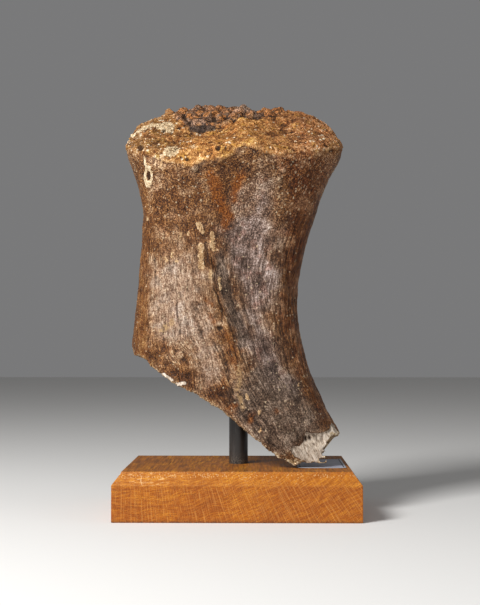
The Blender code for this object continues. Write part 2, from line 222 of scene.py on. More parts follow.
bone = in_scene("bone_surface", whole_copy(nodes["bone"]))
modify(bone, "rounding", "SUBSURF", levels=ROUNDING_LEVELS, render_levels=ROUNDING_LEVELS)
bar = drill(POST_HOLE_RADIUS + POST_HOLE_ROOM, POST_HOLE_BOTTOM, POST_HOLE_TOP)
modify(bone, "post_hole", "BOOLEAN", operation="DIFFERENCE", solver="EXACT", object=bar)
modify(bone, "remesh", "REMESH", mode="VOXEL", voxel_size=REMESH_SIZE)
modify(bone, "relax", "SMOOTH", factor=0.5, iterations=3)
surface = applied(bone)
bpy.data.objects.remove(bar)

places = np.empty(len(surface.vertices) * 3)
surface.vertices.foreach_get("co", places)
points = places.reshape(-1, 3) / MM

# Rounding wears the tip's low corner away, so it is drawn out again.
TIP_PULLS = ((2.4, 64, 52), (4.0, 54, 45))
TIP_DROP = 3.2
for pull, high, low in TIP_PULLS:
    points[:, 0] += pull * step(50, 68, points[:, 0]) * step(high, low, points[:, 2])
points[:, 2] -= TIP_DROP * step(36, 50, points[:, 0]) * step(60, 47, points[:, 2])

# The low corner on the left is worn round.
CORNER_WEAR = 3.0
points[:, 0] += CORNER_WEAR * step(-78, -90, points[:, 0]) * step(143, 130, points[:, 2])

# Which way each point faces, and how far it belongs to the front, which the photo shows.
surface.vertex_normals.foreach_get("vector", places)
normals = places.reshape(-1, 3).copy()
x, y, z = points.T
place = points[:, [0, 2]]
on_front = step(-0.1, 0.3, -normals[:, 1]) * step(10, -15, y)
on_front = np.maximum(on_front, step(-0.05, 0.15, -normals[:, 1]) * step(300, 306, z) * step(45, 35, y))

edges = np.empty(len(surface.edges) * 2, int)
surface.edges.foreach_get("vertices", edges)
ends = edges.reshape(-1, 2).T
neighbours = np.bincount(edges, minlength=len(points))


def spread(values, rounds):
    """Each point's value averaged with those around it, wider with more rounds."""
    columns = [column.copy() for column in np.reshape(values, (len(points), -1)).T]
    one, other = ends
    for column in columns:
        for _ in range(rounds):
            around = np.bincount(one, column[other], len(points))
            around += np.bincount(other, column[one], len(points))
            column[:] = around / neighbours
    return np.stack(columns, axis=1).reshape(np.shape(values))


# The bone's sides at each height, and the middle line that its fibres follow: straight up on the left,
# slanting down to the right along the crack, and fanned about a small boss low on the left.
LEFT_SIDE = (
    (35, -104), (100, -95), (130, -90.5), (160, -88.5), (190, -86), (225, -83), (255, -82.6), (280, -87.6),
    (300, -94.8), (320, -98.5),
)
RIGHT_SIDE = (
    (35, 100), (64, 87), (100, 69.5), (130, 57.8), (160, 50.4), (190, 51.2), (225, 56.8), (255, 66.4),
    (280, 75.8), (300, 87.3), (320, 90.5),
)
MIDDLE_LINE = ((40, 52), (70, 35), (120, 8), (162, -8), (178, -16), (236, -24), (300, -10), (330, -4))
SIDE_TO_SIDE = ((35, -30), (100, -12), (160, -3), (255, -1), (320, -2))
HALF_DEPTH = 45
FIBRE_RADIUS = 80
FIBRE_STRETCH = 5
BOSS_MIDDLE = (-47.5, 132.6)
BOSS_RADIUS = 3.5
SWIRL_REACH = 16
SWIRL_TURN = math.radians(-45)


def fibre_space(points):
    """Each point's place on an upright round bar, on which the bone's fibres run straight and short."""
    off = points[:, [0, 2]] - BOSS_MIDDLE
    turn = SWIRL_TURN * np.exp(-((np.linalg.norm(off, axis=1) / SWIRL_REACH) ** 2)) * (points[:, 1] < 0)
    across = BOSS_MIDDLE[0] + off[:, 0] * np.cos(turn) - off[:, 1] * np.sin(turn)
    height = BOSS_MIDDLE[1] + off[:, 0] * np.sin(turn) + off[:, 1] * np.cos(turn)
    left, middle, right = (along(table, height) for table in (LEFT_SIDE, MIDDLE_LINE, RIGHT_SIDE))
    left_share = (across - left) / (middle - left) / 2
    right_share = 0.5 + (across - middle) / (right - middle) / 2
    share = np.where(across < middle, left_share, right_share)
    toward_front = (along(SIDE_TO_SIDE, height) - points[:, 1]) / HALF_DEPTH
    angle = np.arctan2(2 * share - 1, toward_front)
    around = (FIBRE_RADIUS * np.cos(angle), FIBRE_RADIUS * np.sin(angle), height / FIBRE_STRETCH)
    return np.stack(around, axis=1)


fibres = fibre_space(points)

# The rim, where the wall meets the crown: its height at each angle from the back, round by way of the left.
RIM = (
    (0, 332), (45, 326), (90, 311), (115, 300), (135, 289.2), (147, 287.3), (157, 290.3), (168, 291.5),
    (176, 294.5), (182, 300.5), (186, 303.2), (190, 301.8), (196, 298.5), (203, 296.3), (213, 296),
    (228, 298.8), (248, 303), (270, 309.5), (315, 325), (360, 332),
)
RIM_WANDER = 1.7
RIM_RAGGEDNESS = 0.9
above_rim = z - along(RIM, np.degrees(np.arctan2(-x, y)) % 360)
above_rim += RIM_WANDER * blotches(points, 7) + RIM_RAGGEDNESS * blotches(points, 2.6, 3)
crown = step(-0.6, 1.2, above_rim)

# The break faces down, below the line where the front outline is cut.
BREAK_EDGE = (
    (-89, 132), (-83, 130), (-76.1, 127.1), (-72, 122.1), (-58.8, 112.3), (-51.4, 107.3), (-39.1, 102.4),
    (-21, 92.6), (-6.2, 82.7), (3.6, 72.8), (16, 63), (24.2, 53.1), (30.7, 49), (43.1, 43), (51.3, 41.6),
    (64, 41.6), (70, 43), (73.5, 53.5), (76.5, 63.5), (83.3, 66),
)
BREAK_CLIMB = ((-88, 0), (-60, 0.28), (30, 0.36), (60, 0.22), (80, 0))
BREAK_FRONT = -48
above_break = z - along(BREAK_EDGE, x) - along(BREAK_CLIMB, x) * (y - BREAK_FRONT)
broken = step(0.10, 0.45, -normals[:, 2]) * step(9, 4, above_break)
beside_post = step(15, 11, np.hypot(x, y)) * (z < 155)
near_arris = 1 - np.abs(2 * spread((broken > 0.5).astype(float), rounds=14) - 1)

# Knobs crowd the crown behind an uneven line. They stand where the CAD has them.
KNOB_SPACING = 12
KNOB_JITTER = 3.6
KNOB_SEED = 11
KNOB_SHARES = (0.45, 1.45)
KNOB_BEND = 2.2
KNOB_EDGE = (
    (-100, 60), (-66, 44), (-57, 24), (-47, 6), (-12, 5), (20, 12), (36, 22), (49, 44), (90, 60),
)
across, deep = np.meshgrid(np.arange(-105.0, 105, KNOB_SPACING), np.arange(-80.0, 80, KNOB_SPACING * 0.866))
across[1::2] += KNOB_SPACING / 2
tops = np.stack([across.ravel(), deep.ravel()], axis=1)
draw = np.random.default_rng(KNOB_SEED)
tops += draw.uniform(-KNOB_JITTER, KNOB_JITTER, tops.shape)
knob_shares = draw.uniform(*KNOB_SHARES, len(tops))
high = np.nonzero(z > 285)[0]
bends = np.stack([blotches(points[high], 6, seed) for seed in (71, 73)], axis=1)
bent = points[high, :2] + KNOB_BEND * bends
gaps = np.linalg.norm(bent[:, None] - tops[None], axis=2)
order = np.argsort(gaps, axis=1)[:, :2]
near, second = np.take_along_axis(gaps, order, axis=1).T
knob = np.zeros(len(points))
knob_tone = np.zeros(len(points))
knob_lift = np.zeros(len(points))
knob[high] = 1 - (near / second) ** 2
knob_tone[high] = draw.uniform(0, 1, len(tops))[order[:, 0]]
knob_lift[high] = knob_shares[order[:, 0]]
knobbed = step(-8, 1, y - along(KNOB_EDGE, x) + 3 * blotches(points, 9, 13)) * crown
knobbed *= step(0.0, 0.35, normals[:, 2])

relief = np.zeros(len(points))

# Wall: broad lumps and fine unevenness, then fibres that are strongest from the waist down.
WALL_LUMPS = 0.6
WALL_ROUGHNESS = 0.28
THICK_FIBRES = 0.42
THIN_FIBRES = 0.4
FIBROUS_HEIGHTS = ((90, 0.8), (120, 1), (205, 1), (250, 0.5), (275, 0.25), (300, 0.15))
wall = (1 - crown) * (1 - broken) * (1 - beside_post)
fibrous = along(FIBROUS_HEIGHTS, z)
drawn_out = fibres * (1, 1, 0.7)
relief += wall * WALL_LUMPS * blotches(points, 13)
relief += wall * WALL_ROUGHNESS * blotches(points, 3.2, 7)
fibre = THICK_FIBRES * blotches(drawn_out, 6) + THIN_FIBRES * blotches(drawn_out, 2.6, 5)
relief += wall * fibrous * fibre

# Crown: a gritty layer that ends in a ragged lip at the rim, with lumps on its front slope.
LIP_THICKNESS = 0.8
LIP_BEAD = 0.5
SLOPE_GRIT = 0.55
CROWN_GRIT = 0.5
big_grain = grains(points, 4.2)
small_grain = grains(points, 2.5)
relief += LIP_THICKNESS * crown
relief += LIP_BEAD * crown * hump(above_rim - 1.5, 1.8) * step(-0.3, 0.5, blotches(points, 11, 9))
relief += crown * (1 - knobbed) * (blotches(points, 9, 2) + SLOPE_GRIT * (big_grain - 0.5))
relief += crown * CROWN_GRIT * (small_grain - 0.5)

# Knobs: sharpened and roughened, with smaller ones between. On the left they are smoother and run together.
KNOB_SHARPENING = 0.9
KNOB_ROUGHNESS = 1.7
MERGED_LUMPS = 1.6
SMALL_KNOBS = 1.6
KNOB_GRIT = 0.6
small_knob = grains(points, 7)
merged = along(((-16, 1), (4, 0)), x) * knobbed
small_lumps = step(-0.3, 0.4, blotches(points, 14, 15)) * (1 - 0.8 * merged)
sharp = KNOB_SHARPENING * (knob - 0.6) * knob_lift * (1 - 0.6 * merged)
relief += knobbed * (sharp + KNOB_ROUGHNESS * blotches(points, 5.5, 17))
relief += MERGED_LUMPS * merged * blotches(points, 11, 19)
knob_grit = KNOB_GRIT * (big_grain - 0.5) * (1 - 0.5 * merged)
relief += knobbed * (SMALL_KNOBS * (small_knob - 0.6) * small_lumps + knob_grit)

# Pits in the crown, each with its radius and depth.
PITS = (
    ((-15.5, 301), 2.2, 1.8),
    ((-41, 292.5), 1.6, 1.4),
    ((73, 306), 1.6, 1.2),
    ((-81.5, 306), 3.2, 1.6),
    ((-51.5, 328), 1.8, 1.6),
    ((-64.5, 324.5), 1.5, 1.3),
    ((-67.5, 333), 1.0, 1.0),
    ((-58, 329), 0.9, 0.8),
)
pitted = np.zeros(len(points))
for middle, radius, depth in PITS:
    dip = hump(from_middle(place, middle), radius, 4) * on_front
    pitted = np.maximum(pitted, dip)
    relief -= depth * dip

# Cream crust on the crown's left, and drips and dabs of the same stuff down the wall: outlines, then strokes
# with their half-widths.
CRUST_OUTLINES = (
    ((-72, 330), (-66, 334.5), (-60, 334), (-55, 330.5), (-54.5, 326), (-59, 323), (-65, 324), (-70.5, 327)),
    ((-93, 321.5), (-87, 327.5), (-78, 331.5), (-71, 333.5), (-71, 329.5), (-78, 327.5), (-85, 323.5),
     (-91, 319)),
    ((-63, 299), (-58, 304.5), (-50, 305.5), (-46.5, 302), (-49, 297), (-54, 295), (-61, 295.5)),
)
DABS = (
    (((-32, 241), (-28.8, 234.4)), 2.0),
    (((-21.6, 233.2), (-21, 226), (-19.9, 220.2)), 1.9),
    (((-30.2, 222.5), (-29.8, 205.5)), 2.2),
    (((-22, 201.5), (-21.8, 196.5)), 1.5),
    (((-15.4, 196), (-14, 187)), 1.0),
    (((-46.6, 233), (-47.4, 229)), 1.1),
    (((-40.7, 234), (-40.7, 232)), 1.1),
    (((-59.5, 212.6), (-59, 211.6)), 1.5),
    (((-54, 218.5), (-54.4, 214.5)), 1.1),
    (((-51, 210.2), (-50, 210)), 0.8),
    (((-76, 250), (-76, 246)), 0.8),
    (((-61.2, 296.5), (-63.8, 287.5)), 1.2),
    (((6.5, 102), (8.5, 97)), 1.1),
    (((-37.5, 304), (-36, 303)), 1.6),
    (((17.6, 86.5), (17.2, 84)), 1.0),
    (((19.2, 73), (18, 70)), 1.0),
    (((50, 109), (50.5, 107)), 0.8),
)
CRUST_THICKNESS = 0.6
CRUST_GRIT = 0.6
# This many millimetres go on or off at the marks' borders, here and below, so that none runs smooth.
ragged = 1.1 * blotches(points, 4.5, 21) + 0.8 * blotches(points, 2.2, 23)
crust = np.zeros(len(points))
dabs = np.zeros(len(points))
for outline in CRUST_OUTLINES:
    crust = np.maximum(crust, step(-1.2, 1.2, inside_depth(place, outline) + ragged))
for line, half_width in DABS:
    dabs = np.maximum(dabs, step(0.9, -0.9, line_distance(place, line) - half_width - 0.8 * ragged))
crust *= on_front
dabs *= on_front
relief += np.maximum(crust, 0.8 * dabs) * (CRUST_THICKNESS + CRUST_GRIT * (small_grain - 0.5))

# The smooth dark floor of the crown's basin.
BASIN = (-31, 327.6)
BASIN_RADII = (13, 4.0)
BASIN_DEPTH = 0.8
basin = step(1.15, 0.8, from_middle(place, BASIN, BASIN_RADII) + 0.12 * ragged) * step(30, 20, y) * crown
relief -= BASIN_DEPTH * basin

# A worn scar on the left below the crown: a pale raised ring round a sunk middle.
SCAR_MIDDLE = (-74.2, 281.2)
SCAR_RADII = (3.7, 8.6)
SCAR_RING = 0.8
SCAR_STREAK = ((-77.2, 296.5), (-76, 288.5))
SCAR_HEIGHT = 0.6
SCAR_DEPTH = 0.5
scar_off = from_middle(place, SCAR_MIDDLE, SCAR_RADII) + 0.07 * ragged
ring_width = 0.24 + 0.35 * step(280, 274, z) + 0.12 * step(-74, -76, x)
scar_streak = step(1.3, 0.5, line_distance(place, SCAR_STREAK) + 0.5 * ragged)
scar = step(ring_width + 0.10, ring_width - 0.10, np.abs(scar_off - SCAR_RING)) * step(1.15, 0.98, scar_off)
scar = np.maximum(scar, scar_streak) * on_front
scar_middle = step(0.46, 0.26, scar_off) * on_front
relief += SCAR_HEIGHT * scar - SCAR_DEPTH * scar_middle

# Small pebbles stuck to the wall, each with its radius and height.
PEBBLES = (((-34.5, 285), 2.8, 1.6), ((37.5, 284), 2.3, 1.3), ((34, 276.5), 2.2, 1.2))
pebble = np.zeros(len(points))
for middle, radius, height in PEBBLES:
    dome = np.clip(1 - (from_middle(place, middle) / radius) ** 2, 0, 1) ** 0.6 * on_front
    pebble = np.maximum(pebble, dome)
    relief += height * dome

# The boss low on the left: a low round button in a groove.
BOSS_HEIGHT = 0.55
BOSS_GROOVE = 0.35
from_boss = from_middle(place, BOSS_MIDDLE)
boss = step(BOSS_RADIUS + 0.4, BOSS_RADIUS - 1.6, from_boss + 0.4 * ragged) * on_front
relief += BOSS_HEIGHT * boss - BOSS_GROOVE * hump(from_boss - BOSS_RADIUS - 0.8, 1.5) * on_front

# Cracks down the middle and the left, each with its half-width and depth, and a pit on one of them.
CRACKS = (
    (((-22.5, 216.6), (-21.6, 209.2), (-19.3, 202), (-18.9, 187), (-16.6, 182), (-15.2, 175), (-12.5, 169.4),
      (-12.4, 160)), 0.55, 0.9),
    (((-20.7, 146), (-16.9, 137), (-12, 129), (-8, 115), (-3.7, 102)), 0.7, 0.9),
    (((-17, 144), (-9.5, 127), (-6, 113)), 0.55, 0.6),
    (((-8, 160), (2, 136), (8, 120)), 0.5, 0.4),
    (((-69, 214), (-68.6, 197), (-67.5, 181)), 0.55, 0.5),
    (((-50.5, 191), (-50, 170), (-47, 150)), 0.7, 0.6),
)
CRACK_PIT = (-14.8, 155)
CRACK_PIT_RADII = (2.2, 1.6)
CRACK_PIT_DEPTH = 1.3
crack = np.zeros(len(points))
bent = place + np.stack([1.0 * blotches(points, 5, 31), 0.9 * blotches(points, 6, 33)], axis=1)
for line, half_width, depth in CRACKS:
    groove = hump(line_distance(bent, line), half_width) * on_front
    crack = np.maximum(crack, groove)
    relief -= depth * groove
pit = hump(from_middle(bent, CRACK_PIT, CRACK_PIT_RADII), 1, 3) * on_front
crack = np.maximum(crack * step(-0.35, 0.25, blotches(points, 6, 35)), pit)
relief -= CRACK_PIT_DEPTH * pit

# The tip, where a flake has come away from the front: a fresh, stepped, slanting face.
FLAKE = (
    (56.1, 70.2), (60, 68.4), (65.7, 68.2), (70.3, 68.7), (74, 70.2), (76.5, 71.8), (78.2, 76.4), (84, 74),
    (86, 66), (80, 60), (76, 55), (74, 36), (60, 36), (56, 45.6), (52.1, 47.2), (47.6, 49.8), (44.7, 52.2),
    (44.2, 58.2), (51, 58), (54.4, 61.9),
)
FLAKE_STEP = 0.9
FLAKE_RIDGES = 0.7
FLAKE_LUMPS = 0.3
TIP_BOTTOM = 41.6
FLAKE_SLANT = math.radians(62)
flake = step(-0.5, 0.5, inside_depth(place, FLAKE) + 0.3 * ragged)
flake = flake * step(0.1, 0.4, -normals[:, 1]) * (y < -5)
slanted = points.copy()
slanted[:, 0] = x * math.sin(FLAKE_SLANT) + z * math.cos(FLAKE_SLANT)
slanted[:, 2] = (-x * math.cos(FLAKE_SLANT) + z * math.sin(FLAKE_SLANT)) / 5
flake_relief = FLAKE_RIDGES * blotches(slanted, 2.6, 41) + FLAKE_LUMPS * blotches(points, 4, 43)
relief += flake * (flake_relief - FLAKE_STEP)

# The broken edge: pale spongy bone with open cells underneath, and chips knocked out of its front arris.
CELL_DEPTH = 1.2
BREAK_LUMPS = 1.2
CHIP_LUMPS = 0.4
EDGE_CHIPS = ((((-60.8, 116.2), (-54.4, 111.8)), 1.5), (((-50, 108.4), (-43.6, 110)), 1.7))
sponge = grains(points, 3.6)
strut = step(0.55, 0.2, sponge)
chipped = np.zeros(len(points))
for line, half_width in EDGE_CHIPS:
    off_chip = line_distance(place, line) - half_width - 0.7 * ragged
    chipped = np.maximum(chipped, step(0.8, -0.8, off_chip))
chipped *= step(-0.3, 0.1, -normals[:, 1]) * (y < -20)
relief += CHIP_LUMPS * chipped * blotches(points, 2.6, 59)
relief += broken * (BREAK_LUMPS * blotches(points, 8, 51) - CELL_DEPTH * (1 - strut))
at_edge = step(6.0, 1.5, above_break + 1.6 * ragged) * (1 - broken)
at_edge *= np.maximum(0.55 * step(0.1, 0.6, blotches(points, 8, 57)), step(14, 26, x))

# Nothing is cut deep beside an arris or in the thin tip, and nothing at all is changed round the post.
# The arris itself loses chips and shows the cells, so its line is raised unevenly by up to this much.
ARRIS_CHIPS = 0.9
ARRIS_CELLS = 0.5
thin_tip = step(40, 50, x) * step(66, 58, z)
relief = np.maximum(relief, 0) + np.minimum(relief, 0) * (1 - near_arris) * (1 - 0.85 * thin_tip)
relief *= 1 - beside_post
carved = points + normals * relief[:, None]
small_chips = step(0.0, 0.5, blotches(points, 5, 53))
large_chips = step(0.1, 0.6, blotches(points, 11, 55))
chips = ARRIS_CHIPS * small_chips + ARRIS_CHIPS * large_chips + ARRIS_CELLS * sponge
carved[:, 2] += near_arris**2 * chips * (1 - beside_post) * along(((34, 1), (44, 0.2)), x)
carved[:, 2] = np.maximum(carved[:, 2], TIP_BOTTOM)
surface.vertices.foreach_set("co", (carved * MM).ravel())
surface.update()
surface.vertex_normals.foreach_get("vector", places)
outward = places.reshape(-1, 3)


def hollowness(rounds, full_depth):
    """How deep each point lies below the surface averaged round it, where 1 is this depth or more."""
    return np.clip(((spread(carved, rounds) - carved) * outward).sum(axis=1) / full_depth, -1, 1)


# Where the wall changes colour or shows a painted sheen: outlines on the front, then strokes with their
# half-widths.
PALE_AREA = (
    (-63, 214), (-48, 222), (-34, 222), (-25, 190), (-18, 152), (-9, 122), (-24, 112), (-36, 130),
    (-48, 146), (-64, 150), (-72, 151), (-75, 166), (-72, 192),
)
# The cool area is a bluish-grey sheen painted into the colour as a reflection; the grey area joins it at
# half strength.
GREY_AREA = ((-6, 250), (4, 270), (12, 286), (27, 286), (30, 262), (26, 245))
COOL_SHEEN_AREA = (
    (-14, 234), (6, 256), (22, 262), (30, 240), (30, 205), (28, 165), (36, 134), (42, 112), (24, 108),
    (10, 134), (2, 160), (-6, 196),
)
DARK_AREA = (
    (-6, 96), (6, 116), (30, 128), (52, 104), (66, 80), (70, 66), (44, 56), (30, 50), (12, 66), (0, 80),
)
DARK_BAND = (
    (-19.3, 217.4), (-12.8, 219), (-4.6, 186.2), (1, 169.8), (11, 141), (2, 139), (-9.5, 169.8),
    (-16.9, 190.3),
)
SHADED_AREA = ((-51, 119), (-27, 119), (-10, 108), (10, 100), (20, 71), (-2, 84), (-31, 97), (-49, 108))
RUDDY_AREA = (
    (27, 300), (44, 262), (40, 219), (38, 170), (50, 128), (66, 92), (84, 70), (130, 60), (130, 300),
)
RUST_OUTLINES = (
    ((-26, 281), (-19, 283), (-14, 277), (-12, 266), (-9, 257), (-5, 247), (-6, 236), (-11, 235), (-16, 250),
     (-21, 266)),
    ((-2, 281), (4, 283), (7, 280), (4, 274), (0, 266), (-3, 260), (-6, 262), (-4, 270)),
)
RUST_FLECKS = (
    (((-26, 178), (-22, 174)), 1.4),
    (((-23, 166), (-19, 160)), 1.7),
    (((-9, 151), (-5, 139)), 1.1),
    (((-3, 130), (0, 121)), 0.9),
    (((10, 80), (13, 84)), 1.6),
    (((31, 88), (33, 86)), 1.3),
    (((-9, 88), (-2, 92)), 1.6),
)
TAN_SMEAR = ((-62.5, 153), (-55, 160.5))
TAN_VEIN = ((1, 124), (2, 113), (-1, 104), (3, 97), (4, 90))


def area(outline, fade, unevenness):
    """1 well inside an outline on the front and 0 well outside it, with an uneven border."""
    wander = unevenness * fade * blotches(points, 2.5 * fade, len(outline))
    return step(-fade, fade, inside_depth(place, outline) + wander) * on_front


rust = 0.9 * sum(area(outline, 2.4, 1.6) for outline in RUST_OUTLINES)
for line, half_width in RUST_FLECKS:
    rust += 0.7 * step(1.6, -1.2, line_distance(place, line) - half_width - 1.4 * ragged) * on_front
vein = np.minimum(line_distance(place, TAN_VEIN) - 1.6, line_distance(place, TAN_SMEAR) - 2.4)
vein = step(1.2, -1.2, vein - ragged) * on_front
left_strip = step(-72, -77, x + 2 * blotches(points, 9, 61)) * step(300, 268, z)

# The crown's ochre fades into the wall over a ragged border, wider on the right.
BORDER_WIDTHS = ((-100, 1.2), (20, 1.4), (45, 3), (70, 7), (100, 10))
above_border = above_rim + 1.6 * blotches(points, 8, 81) + 0.9 * ragged
crown_tint = step(-1, 1, above_border / along(BORDER_WIDTHS, x))

# A pale lip along the middle of the rim with a painted highlight on it, both strongest on its left, and
# painted shade under it.
LIP_PALENESS_AND_HIGHLIGHT = ((-30, 1), (-12, 0.7), (30, 0.35))
on_middle = step(-42, -32, x) * step(36, 24, x) * on_front
pale_lip_and_highlight = hump(above_rim - 1.2, 1.6) * on_middle * step(-0.3, 0.5, blotches(points, 6, 83))
pale_lip_and_highlight *= along(LIP_PALENESS_AND_HIGHLIGHT, x)
under_lip = hump(above_rim + 1.9, 1.3) * on_middle

gritty = np.maximum.reduce([
    crown * (0.75 - 0.35 * knobbed - 0.25 * merged),
    0.9 * crust,
    0.8 * dabs,
    0.55 * at_edge * (1 - flake),
    0.3 * broken,
])

# The masks that the material and the grains read.
masks = {
    "crown": crown_tint * step(-14, -6, above_rim),
    "pale_lip_and_highlight": pale_lip_and_highlight,
    "knobbed": knobbed,
    "knob": knob,
    "knob_tone": knob_tone,
    "fibrous": fibrous * (1 - crown) * (1 - broken),
    # Hollowness, which the material paints as shade.
    "hollow_shade": hollowness(rounds=8, full_depth=0.35),
    "deep_hollow_shade": hollowness(rounds=60, full_depth=1.5),
    "crust": np.maximum(crust, 0.9 * scar),
    "dabs": dabs,
    # Dark cracks and pits, and painted shade under the rim's lip.
    "dark_marks_and_shade": np.maximum.reduce([crack, pitted, 0.25 * scar_middle, 0.4 * under_lip]),
    "basin": basin,
    "pebble": np.maximum(pebble, boss * 0.5),
    "pale": area(PALE_AREA, 11, 1.0),
    "cool_sheen": np.maximum(area(COOL_SHEEN_AREA, 11, 1.0), 0.5 * area(GREY_AREA, 8, 1.2)),
    "dark": np.maximum(area(DARK_AREA, 7, 0.8), area(DARK_BAND, 3, 0.8)),
    "ruddy": area(RUDDY_AREA, 6, 0.8),
    "shaded": area(SHADED_AREA, 6, 0.8),
    "rust": np.clip(rust, 0, 1),
    "vein": vein,
    "left_strip": left_strip,
    "flake": np.maximum(flake, chipped),
    "edge": np.maximum(at_edge, broken),
    "cells": broken * (1 - strut),
    "gritty": gritty,
}
for name, values in masks.items():
    surface.attributes.new(name, "FLOAT", "POINT").data.foreach_set("value", values.astype(np.float32))
directions = surface.attributes.new("fibres", "FLOAT_VECTOR", "POINT")
directions.data.foreach_set("vector", fibres.astype(np.float32).ravel())
surface.shade_smooth()
modify(bone, "thinning", "DECIMATE", ratio=min(1, MOST_TRIANGLES / (2 * len(surface.polygons))))
surface = applied(bone)


def drop_loose_bits(mesh, fewest_points):
    """Deletes the separate bits of a mesh that have fewer points than this."""
    form = bmesh.new()
    form.from_mesh(mesh)
    seen = set()
    crumbs = []
    for start in form.verts:
        if start in seen:
            continue
        seen.add(start)
        bit = [start]
        for vert in bit:
            reached = [edge.other_vert(vert) for edge in vert.link_edges]
            fresh = [other for other in reached if other not in seen]
            seen.update(fresh)
            bit += fresh
        if len(bit) < fewest_points:
            crumbs += bit
    bmesh.ops.delete(form, geom=crumbs, context="VERTS")
    form.to_mesh(mesh)
    form.free()


drop_loose_bits(surface, FEWEST_POINTS)


def new_node(tree, kind, inputs=None, **settings):
    """Adds a node to a tree. An input is a plain value or another node's output."""
    node = tree.nodes.new(kind)
    for setting, value in settings.items():
        setattr(node, setting, value)
    for socket, value in (inputs or {}).items():
        if isinstance(value, bpy.types.NodeSocket):
            tree.links.new(value, node.inputs[socket])
        else:
            node.inputs[socket].default_value = value
    return node


class Finish:
    """A material in the making. Each method adds a node and returns its output."""

    def __init__(self, name, gloss=0.5):
        self.material = bpy.data.materials.new(name)
        self.material.use_nodes = True
        self.tree = self.material.node_tree
        self.shader = self.tree.nodes["Principled BSDF"]
        self.shader.inputs["Specular IOR Level"].default_value = gloss
        self.place = self.add("ShaderNodeTexCoord", output="Object")

    def add(self, kind, inputs=None, output=0, **settings):
        return new_node(self.tree, kind, inputs, **settings).outputs[output]

    def axes(self):
        """The X, Y and Z of the place, by name."""
        return self.add("ShaderNodeSeparateXYZ", {"Vector": self.place}).node.outputs

    def math(self, operation, *values):
        return self.add("ShaderNodeMath", dict(enumerate(values)), operation=operation)

    def times(self, first, *others):
        for other in others:
            first = self.math("MULTIPLY", first, other)
        return first

    def total(self, start, *terms):
        """start plus each (output, weight)."""
        for value, weight in terms:
            start = self.math("MULTIPLY_ADD", value, weight, start)
        return start

    def highest(self, first, *others):
        for other in others:
            first = self.math("MAXIMUM", first, other)
        return first

    def ease(self, value, low, high):
        """0 below low, 1 above high, smooth between. With low above high it falls instead."""
        if low > high:
            return self.math("SUBTRACT", 1.0, self.ease(value, high, low))
        inputs = {"Value": value, "From Min": low, "From Max": high}
        return self.add("ShaderNodeMapRange", inputs, interpolation_type="SMOOTHSTEP")

    def mask(self, name):
        return self.add("ShaderNodeAttribute", output="Fac", attribute_name=name)

    def turned(self, where, stretch, turn_y=0, turn_z=0):
        """A place stretched and turned by degrees, so that a pattern on it lies drawn out and slanted."""
        turn = (0, math.radians(turn_y), math.radians(turn_z))
        inputs = {"Vector": where, "Rotation": turn, "Scale": stretch}
        return self.add("ShaderNodeMapping", inputs, vector_type="TEXTURE")

    def noise(self, size, where=None, detail=2.0, spread=0.17, grain=0.55):
        """Blotches of about this size, from 0 to 1 with most of it used."""
        inputs = {"Vector": where or self.place, "Scale": 1 / size, "Detail": detail, "Roughness": grain}
        value = self.add("ShaderNodeTexNoise", inputs)
        limits = {"Value": value, "From Min": 0.5 - spread, "From Max": 0.5 + spread}
        return self.add("ShaderNodeMapRange", limits)

    def scattered(self, size, where=None):
        """Distance to the nearest of scattered seeds, in cell sizes, and a random share for each seed."""
        inputs = {"Vector": where or self.place, "Scale": 1 / size}
        distance = self.add("ShaderNodeTexVoronoi", inputs, output="Distance")
        colour = distance.node.outputs["Color"]
        return distance, self.add("ShaderNodeSeparateColor", {"Color": colour})

    def flecks(self, size, bare, where=None, largest=0.42):
        """Flecks on scattered seeds whose chance is above `bare`, small to large, and the seeds' chances."""
        distance, chance = self.scattered(size, where)
        limits = {"Value": chance, "From Min": bare, "From Max": 1.0, "To Min": 0.0, "To Max": largest}
        radius = self.add("ShaderNodeMapRange", limits)
        return self.ease(self.math("SUBTRACT", radius, distance), -0.02, 0.1), chance

    def mix(self, share, low, high):
        """A colour between two, or a number between two."""
        if not any(isinstance(v, tuple) or getattr(v, "type", "") == "RGBA" for v in (low, high)):
            return self.add("ShaderNodeMix", {0: share, 2: low, 3: high}, data_type="FLOAT")
        low, high = ((*v, 1.0) if isinstance(v, tuple) else v for v in (low, high))
        return self.add("ShaderNodeMix", {0: share, 6: low, 7: high}, output=2, data_type="RGBA")

    def tint(self, share, colour, by):
        """A colour multiplied by another, as far as share says."""
        by = (*by, 1.0) if isinstance(by, tuple) else by
        inputs = {0: share, 6: colour, 7: by}
        return self.add("ShaderNodeMix", inputs, output=2, data_type="RGBA", blend_type="MULTIPLY")

    def ramp(self, value, *stops):
        """Colours at places from 0 to 1."""
        output = self.add("ShaderNodeValToRGB", {"Fac": value})
        elements = output.node.color_ramp.elements
        while len(elements) < len(stops):
            elements.new(0.5)
        for element, (position, colour) in zip(elements, stops):
            element.position = position
            element.color = (*colour, 1.0)
        return output

    def finish(self, colour, roughness, height, depth):
        """Joins colour, roughness and a raised pattern of this depth to the shader."""
        normal = self.add("ShaderNodeBump", {"Height": height, "Distance": depth, "Strength": 1.0})
        for socket, output in (("Base Color", colour), ("Roughness", roughness), ("Normal", normal)):
            self.tree.links.new(output, self.shader.inputs[socket])
        return self.material


